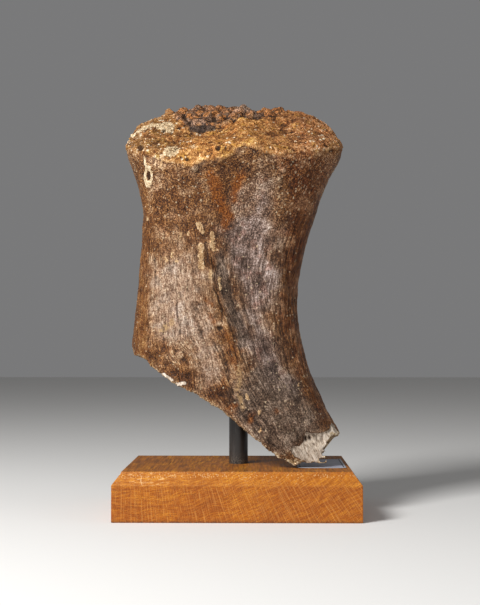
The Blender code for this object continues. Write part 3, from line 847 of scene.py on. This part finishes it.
# The bone's colours from dark to light: the wall's warm and greyer browns, and the crown's ochre.
BROWN_PLACES = (0, 0.25, 0.45, 0.62, 0.8, 1)
WARM_BROWNS = (
    (0.016, 0.005, 0.0015), (0.06, 0.02, 0.006), (0.15, 0.056, 0.015), (0.28, 0.124, 0.04),
    (0.5, 0.285, 0.12), (0.78, 0.58, 0.34),
)
GREY_BROWNS = (
    (0.019, 0.01, 0.006), (0.062, 0.037, 0.023), (0.158, 0.098, 0.062), (0.3, 0.2, 0.134),
    (0.52, 0.39, 0.28), (0.8, 0.66, 0.5),
)
OCHRES = (
    (0.035, 0.011, 0.003), (0.125, 0.044, 0.011), (0.3, 0.122, 0.03), (0.48, 0.225, 0.064),
    (0.69, 0.4, 0.155), (0.9, 0.7, 0.4),
)

# Colour scales with their own places: stains, knobs and their painted light and shade, crusts, breaks, loose
# grains.
STRIP_BROWNS = (
    (0.05, (0.03, 0.01, 0.004)), (0.35, (0.11, 0.034, 0.007)), (0.6, (0.19, 0.066, 0.012)),
    (1.0, (0.52, 0.3, 0.105)),
)
RUSTS = ((0.0, (0.054, 0.012, 0.002)), (0.5, (0.18, 0.046, 0.005)), (1.0, (0.4, 0.138, 0.02)))
KNOB_COLOURS = (
    (0.0, (0.1, 0.038, 0.012)), (0.3, (0.15, 0.063, 0.021)), (0.45, (0.062, 0.044, 0.036)),
    (0.55, (0.11, 0.046, 0.018)), (0.7, (0.14, 0.085, 0.058)), (0.85, (0.056, 0.044, 0.042)),
    (1.0, (0.09, 0.034, 0.011)),
)
KNOB_LIGHT_AND_SHADE = (
    (0.18, (0.07, 0.058, 0.05)), (0.48, (0.66, 0.64, 0.62)), (0.74, (2.0, 1.85, 1.7)),
    (0.95, (4.4, 4.1, 3.7)),
)
BASIN_BLACKS = ((0.2, (0.012, 0.009, 0.008)), (0.6, (0.046, 0.033, 0.028)), (0.9, (0.18, 0.12, 0.095)))
CREAMS = (
    (0.0, (0.1, 0.055, 0.025)), (0.3, (0.38, 0.25, 0.13)), (0.6, (0.68, 0.52, 0.32)),
    (1.0, (0.9, 0.79, 0.6)),
)
TANS = (
    (0.05, (0.16, 0.075, 0.028)), (0.35, (0.38, 0.22, 0.1)), (0.65, (0.58, 0.38, 0.2)),
    (1.0, (0.8, 0.64, 0.43)),
)
FRESH_BROWNS = (
    (0.0, (0.13, 0.095, 0.07)), (0.22, (0.34, 0.26, 0.19)), (0.4, (0.56, 0.45, 0.345)),
    (1.0, (0.88, 0.78, 0.66)),
)
TORN_BROWNS = (
    (0.0, (0.05, 0.025, 0.012)), (0.35, (0.24, 0.14, 0.06)), (0.65, (0.52, 0.37, 0.21)),
    (1.0, (0.8, 0.69, 0.52)),
)
GRAIN_SHADES = (
    (0.0, (0.55, 0.5, 0.46)), (0.35, (0.9, 0.86, 0.8)), (0.6, (1.15, 1.1, 1.0)), (0.85, (1.5, 1.45, 1.4)),
    (1.0, (2.4, 2.3, 2.2)),
)

# Flecks vary between two colours each, and lines, marks and painted shade have one.
SPECK_COLOURS = ((0.56, 0.36, 0.24), (0.7, 0.53, 0.34))
SPRINKLE_COLOURS = ((0.58, 0.36, 0.27), (0.8, 0.68, 0.48))
PEBBLE_COLOURS = ((0.17, 0.1, 0.055), (0.52, 0.38, 0.26))
VEIN_TAN = (0.44, 0.275, 0.13)
LIP_CREAM_AND_HIGHLIGHT = (0.64, 0.4, 0.23)
HAIRLINE_BROWN = (0.03, 0.016, 0.009)
FLAKE_STEP_SHADOW = (0.04, 0.026, 0.018)
CRACK_AND_SHADE_BLACK = (0.022, 0.011, 0.006)
SHADE_BROWN = (0.03, 0.015, 0.008)

# The specks are bent out of round by a noise of this scale, as far as this.
BEND_SCALE = 900.0
BEND_REACH = 0.0022


def bone_finish():
    """Brown mineralised bone under a thin glaze of consolidant, with its stains, crusts and fresh breaks."""
    f = Finish("fossil_bone_aged", gloss=0.18)
    fibres = f.add("ShaderNodeAttribute", output="Vector", attribute_name="fibres")
    fibrous, crown, hollow_shade, deep = (f.mask(n) for n in ("fibrous", "crown", "hollow_shade", "deep_hollow_shade"))
    pale, cool_sheen, dark, ruddy, shaded = (f.mask(n) for n in ("pale", "cool_sheen", "dark", "ruddy", "shaded"))
    across, height = (f.axes()[axis] for axis in "XZ")

    long_fibres = f.turned(fibres, (1, 1, 2.2))
    speck = f.noise(0.0011, spread=0.13, grain=0.7)
    fleck = f.noise(0.0027)
    cloud = f.noise(0.014, detail=3.0)
    strand = f.noise(0.75, long_fibres, spread=0.11, grain=0.75)
    thread = f.noise(1.7, fibres, detail=2.5, grain=0.6)
    bends = {"Vector": f.place, "Scale": BEND_SCALE, "Detail": 1.0}
    bend = f.add("ShaderNodeTexNoise", bends, output="Color")
    bend = f.add("ShaderNodeVectorMath", {0: bend, 1: (0.5, 0.5, 0.5)}, operation="SUBTRACT")
    bend = f.add("ShaderNodeVectorMath", {0: bend, "Scale": BEND_REACH}, operation="SCALE")
    wavy = f.add("ShaderNodeVectorMath", {0: f.place, 1: bend}, operation="ADD")

    # Wall: a light or dark value, read off a warm or a grey scale of browns.
    fine = f.mix(f.times(fibrous, f.total(0.5, (pale, -0.12), (ruddy, 0.25))), speck, strand)
    broad = f.mix(f.times(fibrous, 0.45), fleck, thread)
    # Hollows darken the value as painted shade; the cool sheen lightens it as a painted reflection.
    value = f.total(
        -0.16, (fine, 0.7), (broad, 0.16), (f.mix(f.times(pale, 0.7), cloud, 0.55), 0.3), (hollow_shade, -0.14),
        (pale, 0.205), (dark, -0.06), (ruddy, -0.03), (cool_sheen, 0.05), (shaded, -0.09),
    )
    value = f.mix(f.times(pale, 0.25), value, 0.66)
    warm = f.ramp(value, *zip(BROWN_PLACES, WARM_BROWNS))
    grey = f.ramp(value, *zip(BROWN_PLACES, GREY_BROWNS))
    # The cool sheen greys and blues the colour as a painted reflection.
    greyness = f.total(0.0, (pale, 0.65), (cool_sheen, 0.9), (dark, 0.85), (f.ease(cloud, 0.35, 0.9), 0.35))
    colour = f.mix(greyness, warm, grey)
    tints = (
        (cool_sheen, 0.8, (0.9, 0.93, 1.18)),
        (pale, 0.8, (1.0, 1.01, 1.1)),
        (dark, 0.7, (0.92, 0.96, 1.04)),
        (ruddy, 0.8, (0.95, 0.74, 0.62)),
    )
    for where, strength, tint in tints:
        colour = f.tint(f.times(where, strength), colour, tint)
    blush = f.times(f.ease(f.noise(0.009), 0.66, 0.98), f.total(0.15, (cool_sheen, 0.25), (ruddy, 0.2)))
    colour = f.tint(blush, colour, (1.1, 0.74, 0.64))

    # Hairlines: thin dark cracks that follow the fibres, in patches where the wall is fibrous.
    wavering = f.noise(1.9, long_fibres, detail=1.5, spread=0.5)
    first = f.math("ABSOLUTE", f.math("SUBTRACT", wavering, 0.5))
    second = f.math("ABSOLUTE", f.math("SUBTRACT", f.noise(1.1, long_fibres, detail=1.0, spread=0.5), 0.46))
    worn = f.ease(f.noise(0.006), 0.3, 0.6)
    hairs = f.highest(f.ease(first, 0.022, 0.006), f.times(f.ease(second, 0.018, 0.005), 0.8))
    hairs = f.times(hairs, worn, fibrous)
    colour = f.mix(f.times(hairs, 0.55), colour, HAIRLINE_BROWN)

    # Stains: the rusty left side, darkened there as painted shade too, the rust in the middle, a tan vein.
    strip = f.times(f.mask("left_strip"), f.total(0.35, (f.ease(cloud, 0.2, 0.7), 0.5)))
    colour = f.mix(strip, colour, f.ramp(value, *STRIP_BROWNS))
    thick_rust = f.ease(f.total(0.0, (fleck, 0.45), (fine, 0.3), (cloud, 0.25)), 0.06, 0.46)
    colour = f.mix(f.times(f.mask("rust"), thick_rust), colour, f.ramp(fine, *RUSTS))
    vein = f.times(f.mask("vein"), f.ease(f.total(0.0, (fleck, 0.5), (fine, 0.5)), 0.3, 0.6))
    colour = f.mix(f.times(vein, 0.8), colour, VEIN_TAN)

    # Light specks all over, partly mineral and partly painted glints, most of them near the crown, with
    # slanting ones on the upper right.
    patches = f.ease(f.noise(0.011), 0.25, 0.75)
    bare = f.total(0.86, (f.ease(height, 0.24, 0.3), -0.22), (patches, -0.18))
    specks, speck_tone = f.flecks(0.0023, bare, wavy)
    slanted = f.turned(wavy, (1, 1, 2.4), turn_y=30)
    upper_right = f.times(f.ease(across, 0.018, 0.05), f.ease(height, 0.235, 0.265))
    slanted_specks, _ = f.flecks(0.002, 0.45, slanted)
    specks = f.highest(specks, f.times(slanted_specks, upper_right))
    colour = f.mix(f.times(specks, 0.6), colour, f.mix(speck_tone, *SPECK_COLOURS))

    # Crown: ochre grit, browner and flecked with cream to the left, rosier to the right.
    grit, grit_tone = f.scattered(0.0019)
    # Hollows darken the grit as painted shade.
    grit_value = f.total(
        0.04, (speck, 0.36), (fleck, 0.2), (cloud, 0.2), (grit_tone, 0.2), (f.ease(grit, 0.2, 0.75), -0.1),
        (hollow_shade, -0.18),
    )
    ochre = f.ramp(grit_value, *zip(BROWN_PLACES, OCHRES))
    stain = f.noise(0.0075)
    tints = (
        (stain, 0.62, 0.88, (1.0, 0.88, 0.78)),
        (stain, 0.32, 0.08, (1.0, 1.02, 0.72)),
        (f.noise(0.012), 0.58, 0.92, (0.66, 0.62, 0.64)),
        (across, 0.005, 0.06, (0.88, 0.86, 1.1)),
        (across, -0.04, -0.07, (0.74, 0.78, 0.92)),
    )
    for where, none, full, tint in tints:
        ochre = f.tint(f.ease(where, none, full), ochre, tint)
    bare = f.total(0.84, (f.ease(across, -0.03, -0.062), -0.5), (f.ease(across, 0.04, 0.07), -0.08))
    sprinkles, sprinkle_tone = f.flecks(0.003, bare, wavy, 0.5)
    ochre = f.mix(f.times(sprinkles, 0.8), ochre, f.mix(sprinkle_tone, *SPRINKLE_COLOURS))
    colour = f.mix(crown, colour, ochre)
    colour = f.mix(f.times(f.mask("pale_lip_and_highlight"), f.total(0.25, (fine, 0.5))), colour, LIP_CREAM_AND_HIGHLIGHT)

    # Knobs: each has its own tone of orange, grey or pinkish brown, with painted light on top and painted
    # shade between.
    knobbed, knob = f.mask("knobbed"), f.mask("knob")
    tone = f.total(0.0, (f.mask("knob_tone"), 0.55), (f.noise(0.011, detail=1.0), 0.45))
    lit = f.total(-0.32, (speck, 0.68), (fleck, 0.32), (f.ease(knob, 0.0, 0.5), 0.34), (grit_tone, 0.28))
    knob_colour = f.tint(1.0, f.ramp(tone, *KNOB_COLOURS), f.ramp(lit, *KNOB_LIGHT_AND_SHADE))
    colour = f.mix(f.times(knobbed, 0.9), colour, knob_colour)
    basin_colour = f.ramp(f.total(0.0, (speck, 0.5), (fleck, 0.5)), *BASIN_BLACKS)
    colour = f.mix(f.times(f.mask("basin"), 0.9), colour, basin_colour)

    # Cream crust, tan drips and dabs, and pebbles.
    # Hollows darken the crust and the dabs as painted shade.
    crust = f.ease(f.total(0.0, (f.mask("crust"), 0.9), (fleck, 0.4), (speck, 0.25)), 0.7, 0.92)
    cream = f.ramp(f.total(0.0, (speck, 0.5), (fleck, 0.35), (hollow_shade, -0.15)), *CREAMS)
    colour = f.mix(crust, colour, cream)
    dabs = f.ease(f.total(0.0, (f.mask("dabs"), 0.9), (fleck, 0.4), (speck, 0.3)), 0.7, 0.95)
    tan = f.ramp(f.total(0.0, (speck, 0.55), (fleck, 0.35), (hollow_shade, -0.1)), *TANS)
    colour = f.mix(f.times(dabs, 0.92), colour, tan)
    colour = f.mix(f.times(f.mask("pebble"), 0.55), colour, f.mix(speck, *PEBBLE_COLOURS))

    # Fresh breaks: the slanting flake at the tip, and the spongy broken edge.
    streak = f.noise(0.0012, f.turned(f.place, (1, 1, 4), turn_y=-28))
    # Hollows darken both breaks as painted shade.
    fresh = f.ramp(f.total(0.06, (streak, 0.6), (fleck, 0.25), (hollow_shade, -0.12)), *FRESH_BROWNS)
    flaked = f.mask("flake")
    flake = f.ease(flaked, 0.35, 0.65)
    # The dark line round the flake is the painted shadow of its step.
    flake_step_shadow = f.times(f.ease(flaked, 0.05, 0.3), f.ease(flaked, 0.6, 0.35))
    colour = f.mix(flake, colour, fresh)
    colour = f.mix(f.times(flake_step_shadow, 0.5), colour, FLAKE_STEP_SHADOW)
    edge = f.ease(f.total(0.0, (f.mask("edge"), 1.0), (fleck, 0.55), (cloud, 0.35)), 0.95, 1.25)
    torn = f.ramp(f.total(0.0, (speck, 0.45), (fleck, 0.45), (hollow_shade, -0.25)), *TORN_BROWNS)
    torn = f.tint(f.ease(across, 0.02, 0.005), torn, (0.62, 0.54, 0.46))
    colour = f.mix(edge, colour, torn)

    # Dark cracks and pits, painted shade under the rim's lip, and painted shade in hollows, open cells and
    # knob gaps.
    colour = f.mix(f.times(f.mask("dark_marks_and_shade"), 0.85), colour, CRACK_AND_SHADE_BLACK)
    gaps = f.times(knobbed, f.ease(knob, 0.3, 0.02))
    painted_shade = f.total(
        0.0, (f.ease(deep, 0.15, 1.0), 0.8), (f.ease(hollow_shade, 0.25, 1.0), 0.45), (f.mask("cells"), 0.6),
        (gaps, 0.85),
    )
    colour = f.mix(f.times(painted_shade, 0.9), colour, SHADE_BROWN)

    # Each loose grain has its own tone. The bone itself has none, and stays as it is.
    own = f.mask("own_tone")
    colour = f.tint(f.ease(own, 0.0, 0.001), colour, f.ramp(own, *GRAIN_SHADES))

    rough = f.total(
        0.3, (fine, 0.2), (crown, 0.22), (crust, 0.2), (dabs, 0.2), (flake, 0.25), (edge, 0.25),
    )
    ridges = f.mix(f.times(fibrous, 0.55), speck, strand)
    raised_grit = f.times(crown, f.ease(grit, 0.8, 0.1))
    raised = f.total(
        0.0, (ridges, 0.9), (broad, 0.4), (raised_grit, 1.0), (specks, 0.5), (f.times(flake, streak), 0.6),
        (hairs, -0.8),
    )
    return f.finish(colour, rough, raised, depth=0.0004)


def coat(mesh, material):
    """Gives a mesh this material in place of those it has."""
    mesh.materials.clear()
    mesh.materials.append(material)


coat(surface, bone_finish())
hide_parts("bone")
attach(bone, "root")


# The grit on the bone.
# Loose grains of sand and lime, set fast in the crown, in the dabs on the wall and along the broken edge.
# They are scattered over the finished surface, thickest where its "gritty" mask is highest, half sunk in it.

GRAIN_SIZES = {"Per square metre": 420000.0, "Spacing": 0.0009, "Smallest": 0.00032, "Largest": 0.00085}
GRAIN_SEED = 4
FULL_TURN = 6.28
# Each grain is squashed or stretched to between these shares. The power makes most grains small.
FLATTEST = (0.7, 0.6, 0.5)
LONGEST = (1.2, 1.0, 0.8)
SMALL_ONES = 2.2


def grain_tree(material):
    """Geometry Nodes that scatter rough pebbles over a surface and make them one mesh."""
    tree = bpy.data.node_groups.new("scatter_grains", "GeometryNodeTree")
    kinds = {"Surface": "Geometry", **dict.fromkeys(GRAIN_SIZES, "Float"), "Seed": "Int"}
    sockets = {}
    for name, kind in kinds.items():
        socket = tree.interface.new_socket(name, in_out="INPUT", socket_type="NodeSocket" + kind)
        sockets[name] = socket.identifier
    tree.interface.new_socket("Grains", in_out="OUTPUT", socket_type="NodeSocketGeometry")

    def add(kind, inputs, output=0, **settings):
        return new_node(tree, kind, inputs, **settings).outputs[output]

    def random_number(seed):
        return add("FunctionNodeRandomValue", {2: 0.0, 3: 1.0, "Seed": seed}, output=1, data_type="FLOAT")

    def random_vector(low, high, seed):
        limits = {"Min": low, "Max": high, "Seed": seed}
        return add("FunctionNodeRandomValue", limits, data_type="FLOAT_VECTOR")

    given = new_node(tree, "NodeGroupInput").outputs
    gritty = add("GeometryNodeInputNamedAttribute", {"Name": "gritty"}, data_type="FLOAT")
    where = {
        "Mesh": given["Surface"], "Distance Min": given["Spacing"], "Density Max": given["Per square metre"],
        "Density Factor": gritty, "Seed": given["Seed"],
    }
    spots = add("GeometryNodeDistributePointsOnFaces", where, distribute_method="POISSON")
    pebble = add("GeometryNodeMeshIcoSphere", {"Radius": 1.0, "Subdivisions": 1})
    lean = random_vector((0, 0, 0), (FULL_TURN, FULL_TURN, FULL_TURN), 1)
    squash = random_vector(FLATTEST, LONGEST, 2)
    steep = add("ShaderNodeMath", {0: random_number(3), 1: SMALL_ONES}, operation="POWER")
    limits = {"Value": steep, "To Min": given["Smallest"], "To Max": given["Largest"]}
    size = add("ShaderNodeMapRange", limits)
    shape = add("ShaderNodeVectorMath", {0: squash, "Scale": size}, operation="SCALE")
    laid = {"Points": spots, "Instance": pebble, "Rotation": lean, "Scale": shape}
    placed = add("GeometryNodeInstanceOnPoints", laid)
    tone = {"Geometry": placed, "Name": "own_tone", "Value": random_number(5)}
    toned = add("GeometryNodeStoreNamedAttribute", tone, data_type="FLOAT", domain="INSTANCE")
    solid = add("GeometryNodeRealizeInstances", {"Geometry": toned})
    finished = add("GeometryNodeSetMaterial", {"Geometry": solid, "Material": material})
    new_node(tree, "NodeGroupOutput", {0: finished})
    return tree, sockets


grit = in_scene("bone_grains", surface.copy())
scatter = grit.modifiers.new("scatter", "NODES")
scatter.node_group, sockets = grain_tree(surface.materials[0])
for name, value in {**GRAIN_SIZES, "Seed": GRAIN_SEED}.items():
    scatter[sockets[name]] = value
applied(grit).shade_flat()
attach(grit, "root")


# The post.
# A 16 mm steel bar, painted satin black, that stands glued in the plinth and holds the bone from below.
# The paint has a faint orange-peel texture, a little dust low down, and rubs where the bone was slid on.

PLINTH_TOP = 0.04
DUST_HEIGHT = 0.012
PAINT_BLACKS = ((0.016, 0.013, 0.011), (0.024, 0.02, 0.018))
RUBBED_BLACK = (0.05, 0.044, 0.04)
DUST_BROWN = (0.16, 0.12, 0.08)


def paint_finish():
    """Satin black paint on steel."""
    f = Finish("satin_black_paint", gloss=0.55)
    peel = f.noise(0.0009, detail=1.0)
    cloud = f.noise(0.008)
    rub = f.times(f.ease(f.noise(0.0013, f.turned(f.place, (1, 1, 16))), 0.7, 1.0), 0.6)
    low_down = f.ease(f.axes()["Z"], PLINTH_TOP + DUST_HEIGHT, PLINTH_TOP)
    dust = f.times(low_down, f.ease(peel, 0.35, 0.9))
    colour = f.mix(cloud, *PAINT_BLACKS)
    colour = f.mix(rub, colour, RUBBED_BLACK)
    colour = f.mix(f.times(dust, 0.5), colour, DUST_BROWN)
    rough = f.total(0.3, (cloud, 0.1), (peel, 0.05), (dust, 0.25))
    return f.finish(colour, rough, peel, depth=0.00003)


coat(nodes["post"].data, paint_finish())


# The plinth.
# A block of oak, sawn so that its growth rings show on the front, planed, chamfered round the top and oiled.
# The rings' heart lies above the left of the block, level with Y; the pale rays point towards it.

HEART = (-0.093, 0.284)
MEAN_RADIUS = 0.3
RAYS = ((0.0036, 0.075, 0.01), (0.0014, 0.13, 0.006))
CHAMFER_FOOT = 0.028
HALF_LENGTH = 0.1
SCRATCH_MIDDLE = (-0.066, -0.074, 0.0335)
SCRATCH_RADIUS = 0.0105
OAKS = (
    (0.0, (0.18, 0.04, 0.002)), (0.3, (0.255, 0.062, 0.004)), (0.5, (0.33, 0.088, 0.006)),
    (0.72, (0.44, 0.14, 0.008)), (1.0, (0.6, 0.24, 0.022)),
)
PORE_BROWN = (0.08, 0.022, 0.003)
RAY_GOLD = (0.68, 0.32, 0.08)
FACING_UP_LIGHT = (1.16, 1.36, 1.7)
TOP_TINTS = ((0.4, 0.36, 0.25), (1.0, 0.98, 0.76))
FILM_BROWN = (0.27, 0.15, 0.04)
SCUFF_CREAM = (0.78, 0.52, 0.25)
LOW_EDGE_BROWN = (0.07, 0.024, 0.008)


def oak_finish():
    """Clear-oiled oak: rings, pores and rays from one heart, with dust and a few scuffs on top."""
    f = Finish("oiled_oak", gloss=0.28)
    axes = f.axes()
    sideways = f.math("SUBTRACT", axes["X"], HEART[0])
    down = f.math("SUBTRACT", HEART[1], axes["Z"])
    out = f.math("SQRT", f.total(0.0, (sideways, sideways), (down, down)))
    around = f.times(f.math("ARCTAN2", sideways, down), MEAN_RADIUS)
    wander = f.noise(0.028, f.turned(f.place, (1, 3, 1)), detail=1.0)
    out = f.total(0.0, (out, 1.0), (wander, 0.003))
    grain = f.add("ShaderNodeCombineXYZ", {"X": around, "Y": out, "Z": axes["Y"]})

    ring = f.noise(0.0034, f.turned(grain, (11, 1, 40)))
    line = f.noise(0.00085, f.turned(grain, (9, 1, 40)), detail=1.5)
    dash = f.noise(0.0006, f.turned(grain, (3.2, 1, 30)), detail=1.0, spread=0.13)
    cloud = f.noise(0.022)
    pore, pore_share = f.scattered(0.00075, f.turned(grain, (1.1, 1, 26)))
    pores = f.times(f.ease(pore, 0.42, 0.22), f.ease(pore_share, 0.35, 0.45), f.ease(ring, 0.3, 0.75))

    stray = f.noise(0.01, f.turned(grain, (1, 2, 3)), detail=1.0)
    across = f.total(0.0, (around, 1.0), (stray, 0.0009))
    rays = None
    for width, reach, size in RAYS:
        spots = {"W": across, "Scale": 1 / width}
        distance = f.add("ShaderNodeTexVoronoi", spots, output="Distance", voronoi_dimensions="1D")
        seen = f.ease(f.noise(size, f.turned(grain, (0.4, 1, 1.4)), detail=1.0), 0.22, 0.55)
        ray = f.times(f.ease(distance, reach, reach * 0.35), seen)
        rays = ray if rays is None else f.highest(f.times(rays, 0.8), f.times(ray, 0.7))

    value = f.total(0.1, (ring, 0.18), (line, 0.36), (dash, 0.12), (cloud, 0.14))
    colour = f.mix(f.times(pores, 0.6), f.ramp(value, *OAKS), PORE_BROWN)
    facing_up = f.ease(axes["Z"], CHAMFER_FOOT, CHAMFER_FOOT + 0.0015)
    at_side = f.ease(f.math("ABSOLUTE", axes["X"]), HALF_LENGTH - 0.001, HALF_LENGTH - 0.0003)
    ray_share = f.total(0.5, (facing_up, -0.34), (at_side, -0.38))
    colour = f.mix(f.times(rays, ray_share), colour, RAY_GOLD)

    # Dust and pale scuffs on top, pale filled pores on the front chamfer, one curved scratch at its left.
    speck = f.noise(0.0012, detail=1.0)
    on_top = f.ease(axes["Z"], PLINTH_TOP - 0.0006, PLINTH_TOP - 0.0002)
    film = f.times(on_top, f.total(0.3, (f.noise(0.018), 0.45)))
    # Faces turned up, the top and the chamfer, are made lighter and paler: painted light.
    colour = f.tint(facing_up, colour, FACING_UP_LIGHT)
    streak = f.noise(0.002, f.turned(f.place, (1, 22, 1)), detail=3.0, spread=0.18)
    colour = f.tint(on_top, colour, f.mix(streak, *TOP_TINTS))
    colour = f.mix(f.times(film, 0.22), colour, FILM_BROWN)
    on_chamfer = f.ease(axes["Z"], CHAMFER_FOOT, CHAMFER_FOOT + 0.004)
    near_front = f.times(f.ease(axes["Y"], -0.052, -0.072), on_chamfer)
    tick, tick_share = f.scattered(0.0012, f.turned(f.place, (0.8, 2, 2), turn_y=-20))
    high_row = f.times(f.ease(axes["Z"], 0.0345, 0.036), f.ease(axes["Z"], 0.0392, 0.038))
    low_patch = f.noise(0.0035, f.turned(f.place, (9, 1, 1)), detail=1.0)
    rows = f.highest(high_row, f.times(f.ease(low_patch, 0.6, 0.85), 0.5))
    ticks = f.times(f.ease(tick, 0.4, 0.2), f.ease(tick_share, 0.3, 0.45), near_front, rows)
    scuff = f.noise(0.0012, f.turned(f.place, (7, 1, 1), turn_z=12))
    scuffs = f.times(f.ease(scuff, 0.8, 1.0), f.ease(cloud, 0.55, 0.9), near_front)
    off = [f.math("SUBTRACT", axes[axis], middle) for axis, middle in zip("XYZ", SCRATCH_MIDDLE)]
    bow = f.math("SQRT", f.total(0.0, (off[0], off[0]), (off[1], off[1]), (off[2], off[2])))
    off_bow = f.math("ABSOLUTE", f.math("SUBTRACT", bow, SCRATCH_RADIUS))
    upper_left = f.times(f.ease(off[0], 0.0, -0.003), f.ease(off[2], 0.004, 0.001))
    scratch = f.times(f.ease(off_bow, 0.00045, 0.00015), upper_left, near_front)
    marks = f.highest(f.times(ticks, 0.55), f.times(scuffs, 0.5), f.times(scratch, 0.7))
    colour = f.mix(marks, colour, SCUFF_CREAM)
    # Darker towards the bottom edge.
    low_darkening = f.times(f.ease(axes["Z"], 0.003, 0.0), f.total(0.2, (speck, 0.6)))
    colour = f.mix(low_darkening, colour, LOW_EDGE_BROWN)

    rough = f.total(0.36, (line, 0.1), (pores, 0.25), (film, 0.25), (marks, 0.2))
    height = f.total(0.0, (pores, -1.0), (dash, 0.35), (rays, 0.15), (marks, 0.2))
    return f.finish(colour, rough, height, depth=0.0001)


coat(nodes["plinth"].data, oak_finish())


# The label.
# A bare card, pale blue-grey with a pale margin and one dark border line, laid on the plinth behind the tip.
# Its corners are cut round and have begun to lift.

CARD_THICKNESS = 0.00032
CARD_GAP = 0.00006
CORNER_RADIUS = 0.0012
CORNER_LIFT = 0.00035
CARD_STEPS = (40, 75)
MARGIN = 0.0013
BORDER_LINE = 0.0011
PRINT_EDGE = 0.0002
CARD_GREYS = ((0.27, 0.28, 0.35), (0.37, 0.37, 0.44))
BORDER_INK = (0.012, 0.014, 0.035)
MARGIN_GREY = (0.42, 0.43, 0.47)
CARD_DUST = (0.42, 0.36, 0.3)

card_low, card_high = (Vector(corner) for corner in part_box("label"))
card_middle = (card_low + card_high) / 2
half_width = (card_high.x - card_low.x) / 2
half_length = (card_high.y - card_low.y) / 2

card_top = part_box("plinth")[1][2] + CARD_GAP + CARD_THICKNESS

form = bmesh.new()
bmesh.ops.create_grid(form, x_segments=CARD_STEPS[0], y_segments=CARD_STEPS[1], size=1.0)
for vert in form.verts:
    u, v = vert.co.x, vert.co.y
    off_x, off_y = abs(u) * half_width, abs(v) * half_length
    over_x = off_x - (half_width - CORNER_RADIUS)
    over_y = off_y - (half_length - CORNER_RADIUS)
    if over_x > 0 and over_y > 0:
        pull = CORNER_RADIUS / max(CORNER_RADIUS, math.hypot(over_x, over_y))
        off_x = half_width - CORNER_RADIUS + over_x * pull
        off_y = half_length - CORNER_RADIUS + over_y * pull
    vert.co.x = card_middle.x + math.copysign(off_x, u)
    vert.co.y = card_middle.y + math.copysign(off_y, v)
    vert.co.z = card_top + CORNER_LIFT * (abs(u) * abs(v)) ** 5
card = in_scene("label_card", as_mesh(form, "label_card"))
modify(card, "thickness", "SOLIDIFY", thickness=CARD_THICKNESS, offset=-1)
card_mesh = applied(card)
card_mesh.shade_smooth()


def card_finish():
    """Smooth blue-grey card with a pale margin, one printed border line and a little dust."""
    f = Finish("blank_card")
    insets = []
    for axis, middle, half in (("X", card_middle.x, half_width), ("Y", card_middle.y, half_length)):
        off_middle = f.math("ABSOLUTE", f.math("SUBTRACT", f.axes()[axis], middle))
        insets.append(f.math("SUBTRACT", half, off_middle))
    inset = f.math("MINIMUM", *insets)
    fibre = f.noise(0.0006)
    cloud = f.noise(0.012)
    colour = f.mix(cloud, *CARD_GREYS)
    line_end = MARGIN + BORDER_LINE
    before_end = f.ease(inset, line_end + PRINT_EDGE, line_end)
    line = f.times(f.ease(inset, MARGIN, MARGIN + PRINT_EDGE), before_end)
    colour = f.mix(line, colour, BORDER_INK)
    colour = f.mix(f.ease(inset, MARGIN, MARGIN - PRINT_EDGE), colour, MARGIN_GREY)
    dust = f.times(f.ease(fibre, 0.7, 0.95), 0.35)
    colour = f.mix(dust, colour, CARD_DUST)
    rough = f.total(0.38, (fibre, 0.12), (cloud, 0.08), (dust, 0.3))
    return f.finish(colour, rough, fibre, depth=0.00002)


coat(card_mesh, card_finish())
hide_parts("label")
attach(card, "root")


# The studio.
# A plain pale floor in a grey room, a soft key light from the upper left, and weak light from the right and
# from the front. The camera stands where the plinth's edges in the photo put it.

CAMERA_PLACE = (0.0176, -1.0649, 0.1435)
CAMERA_AIM = (-0.0153, 1, 0.0319)
CAMERA_LENS = 73.79
FLOOR_REACH = 4

camera = in_scene("camera", bpy.data.cameras.new("camera"))
camera.location = CAMERA_PLACE
camera.rotation_euler = Vector(CAMERA_AIM).to_track_quat("-Z", "Y").to_euler()
camera.data.lens = CAMERA_LENS
camera.data.sensor_width = 36
bpy.context.scene.camera = camera

# Each light's place, its width and its power.
BONE_MIDDLE = Vector((0, 0, 0.18))
LIGHTS = (
    ("key_light", (-0.85, -0.95, 1.05), 0.45, 34),
    ("side_light", (1.3, -0.5, 0.6), 0.7, 2),
    ("front_light", (0.1, -1.6, 0.6), 1.0, 3),
)
for name, where, size, watts in LIGHTS:
    light = in_scene(name, bpy.data.lights.new(name, "AREA"))
    light.data.energy = watts
    light.data.size = size
    light.location = where
    light.rotation_euler = (BONE_MIDDLE - Vector(where)).to_track_quat("-Z", "Y").to_euler()

world = bpy.data.worlds.new("pale_room")
world.use_nodes = True
background = world.node_tree.nodes["Background"]
background.inputs["Color"].default_value = (0.8, 0.8, 0.81, 1)
background.inputs["Strength"].default_value = 0.24
bpy.context.scene.world = world
bpy.context.scene.view_settings.view_transform = "Standard"

floor_mesh = bpy.data.meshes.new("floor")
floor_corners = [(FLOOR_REACH * i, FLOOR_REACH * j, 0) for i, j in ((-1, -1), (1, -1), (1, 1), (-1, 1))]
floor_mesh.from_pydata(floor_corners, [], [(0, 1, 2, 3)])
floor = in_scene("floor", floor_mesh)
paper = Finish("floor_paper", gloss=0.1)
paper.shader.inputs["Base Color"].default_value = (0.72, 0.71, 0.69, 1)
paper.shader.inputs["Roughness"].default_value = 0.8
coat(floor_mesh, paper.material)
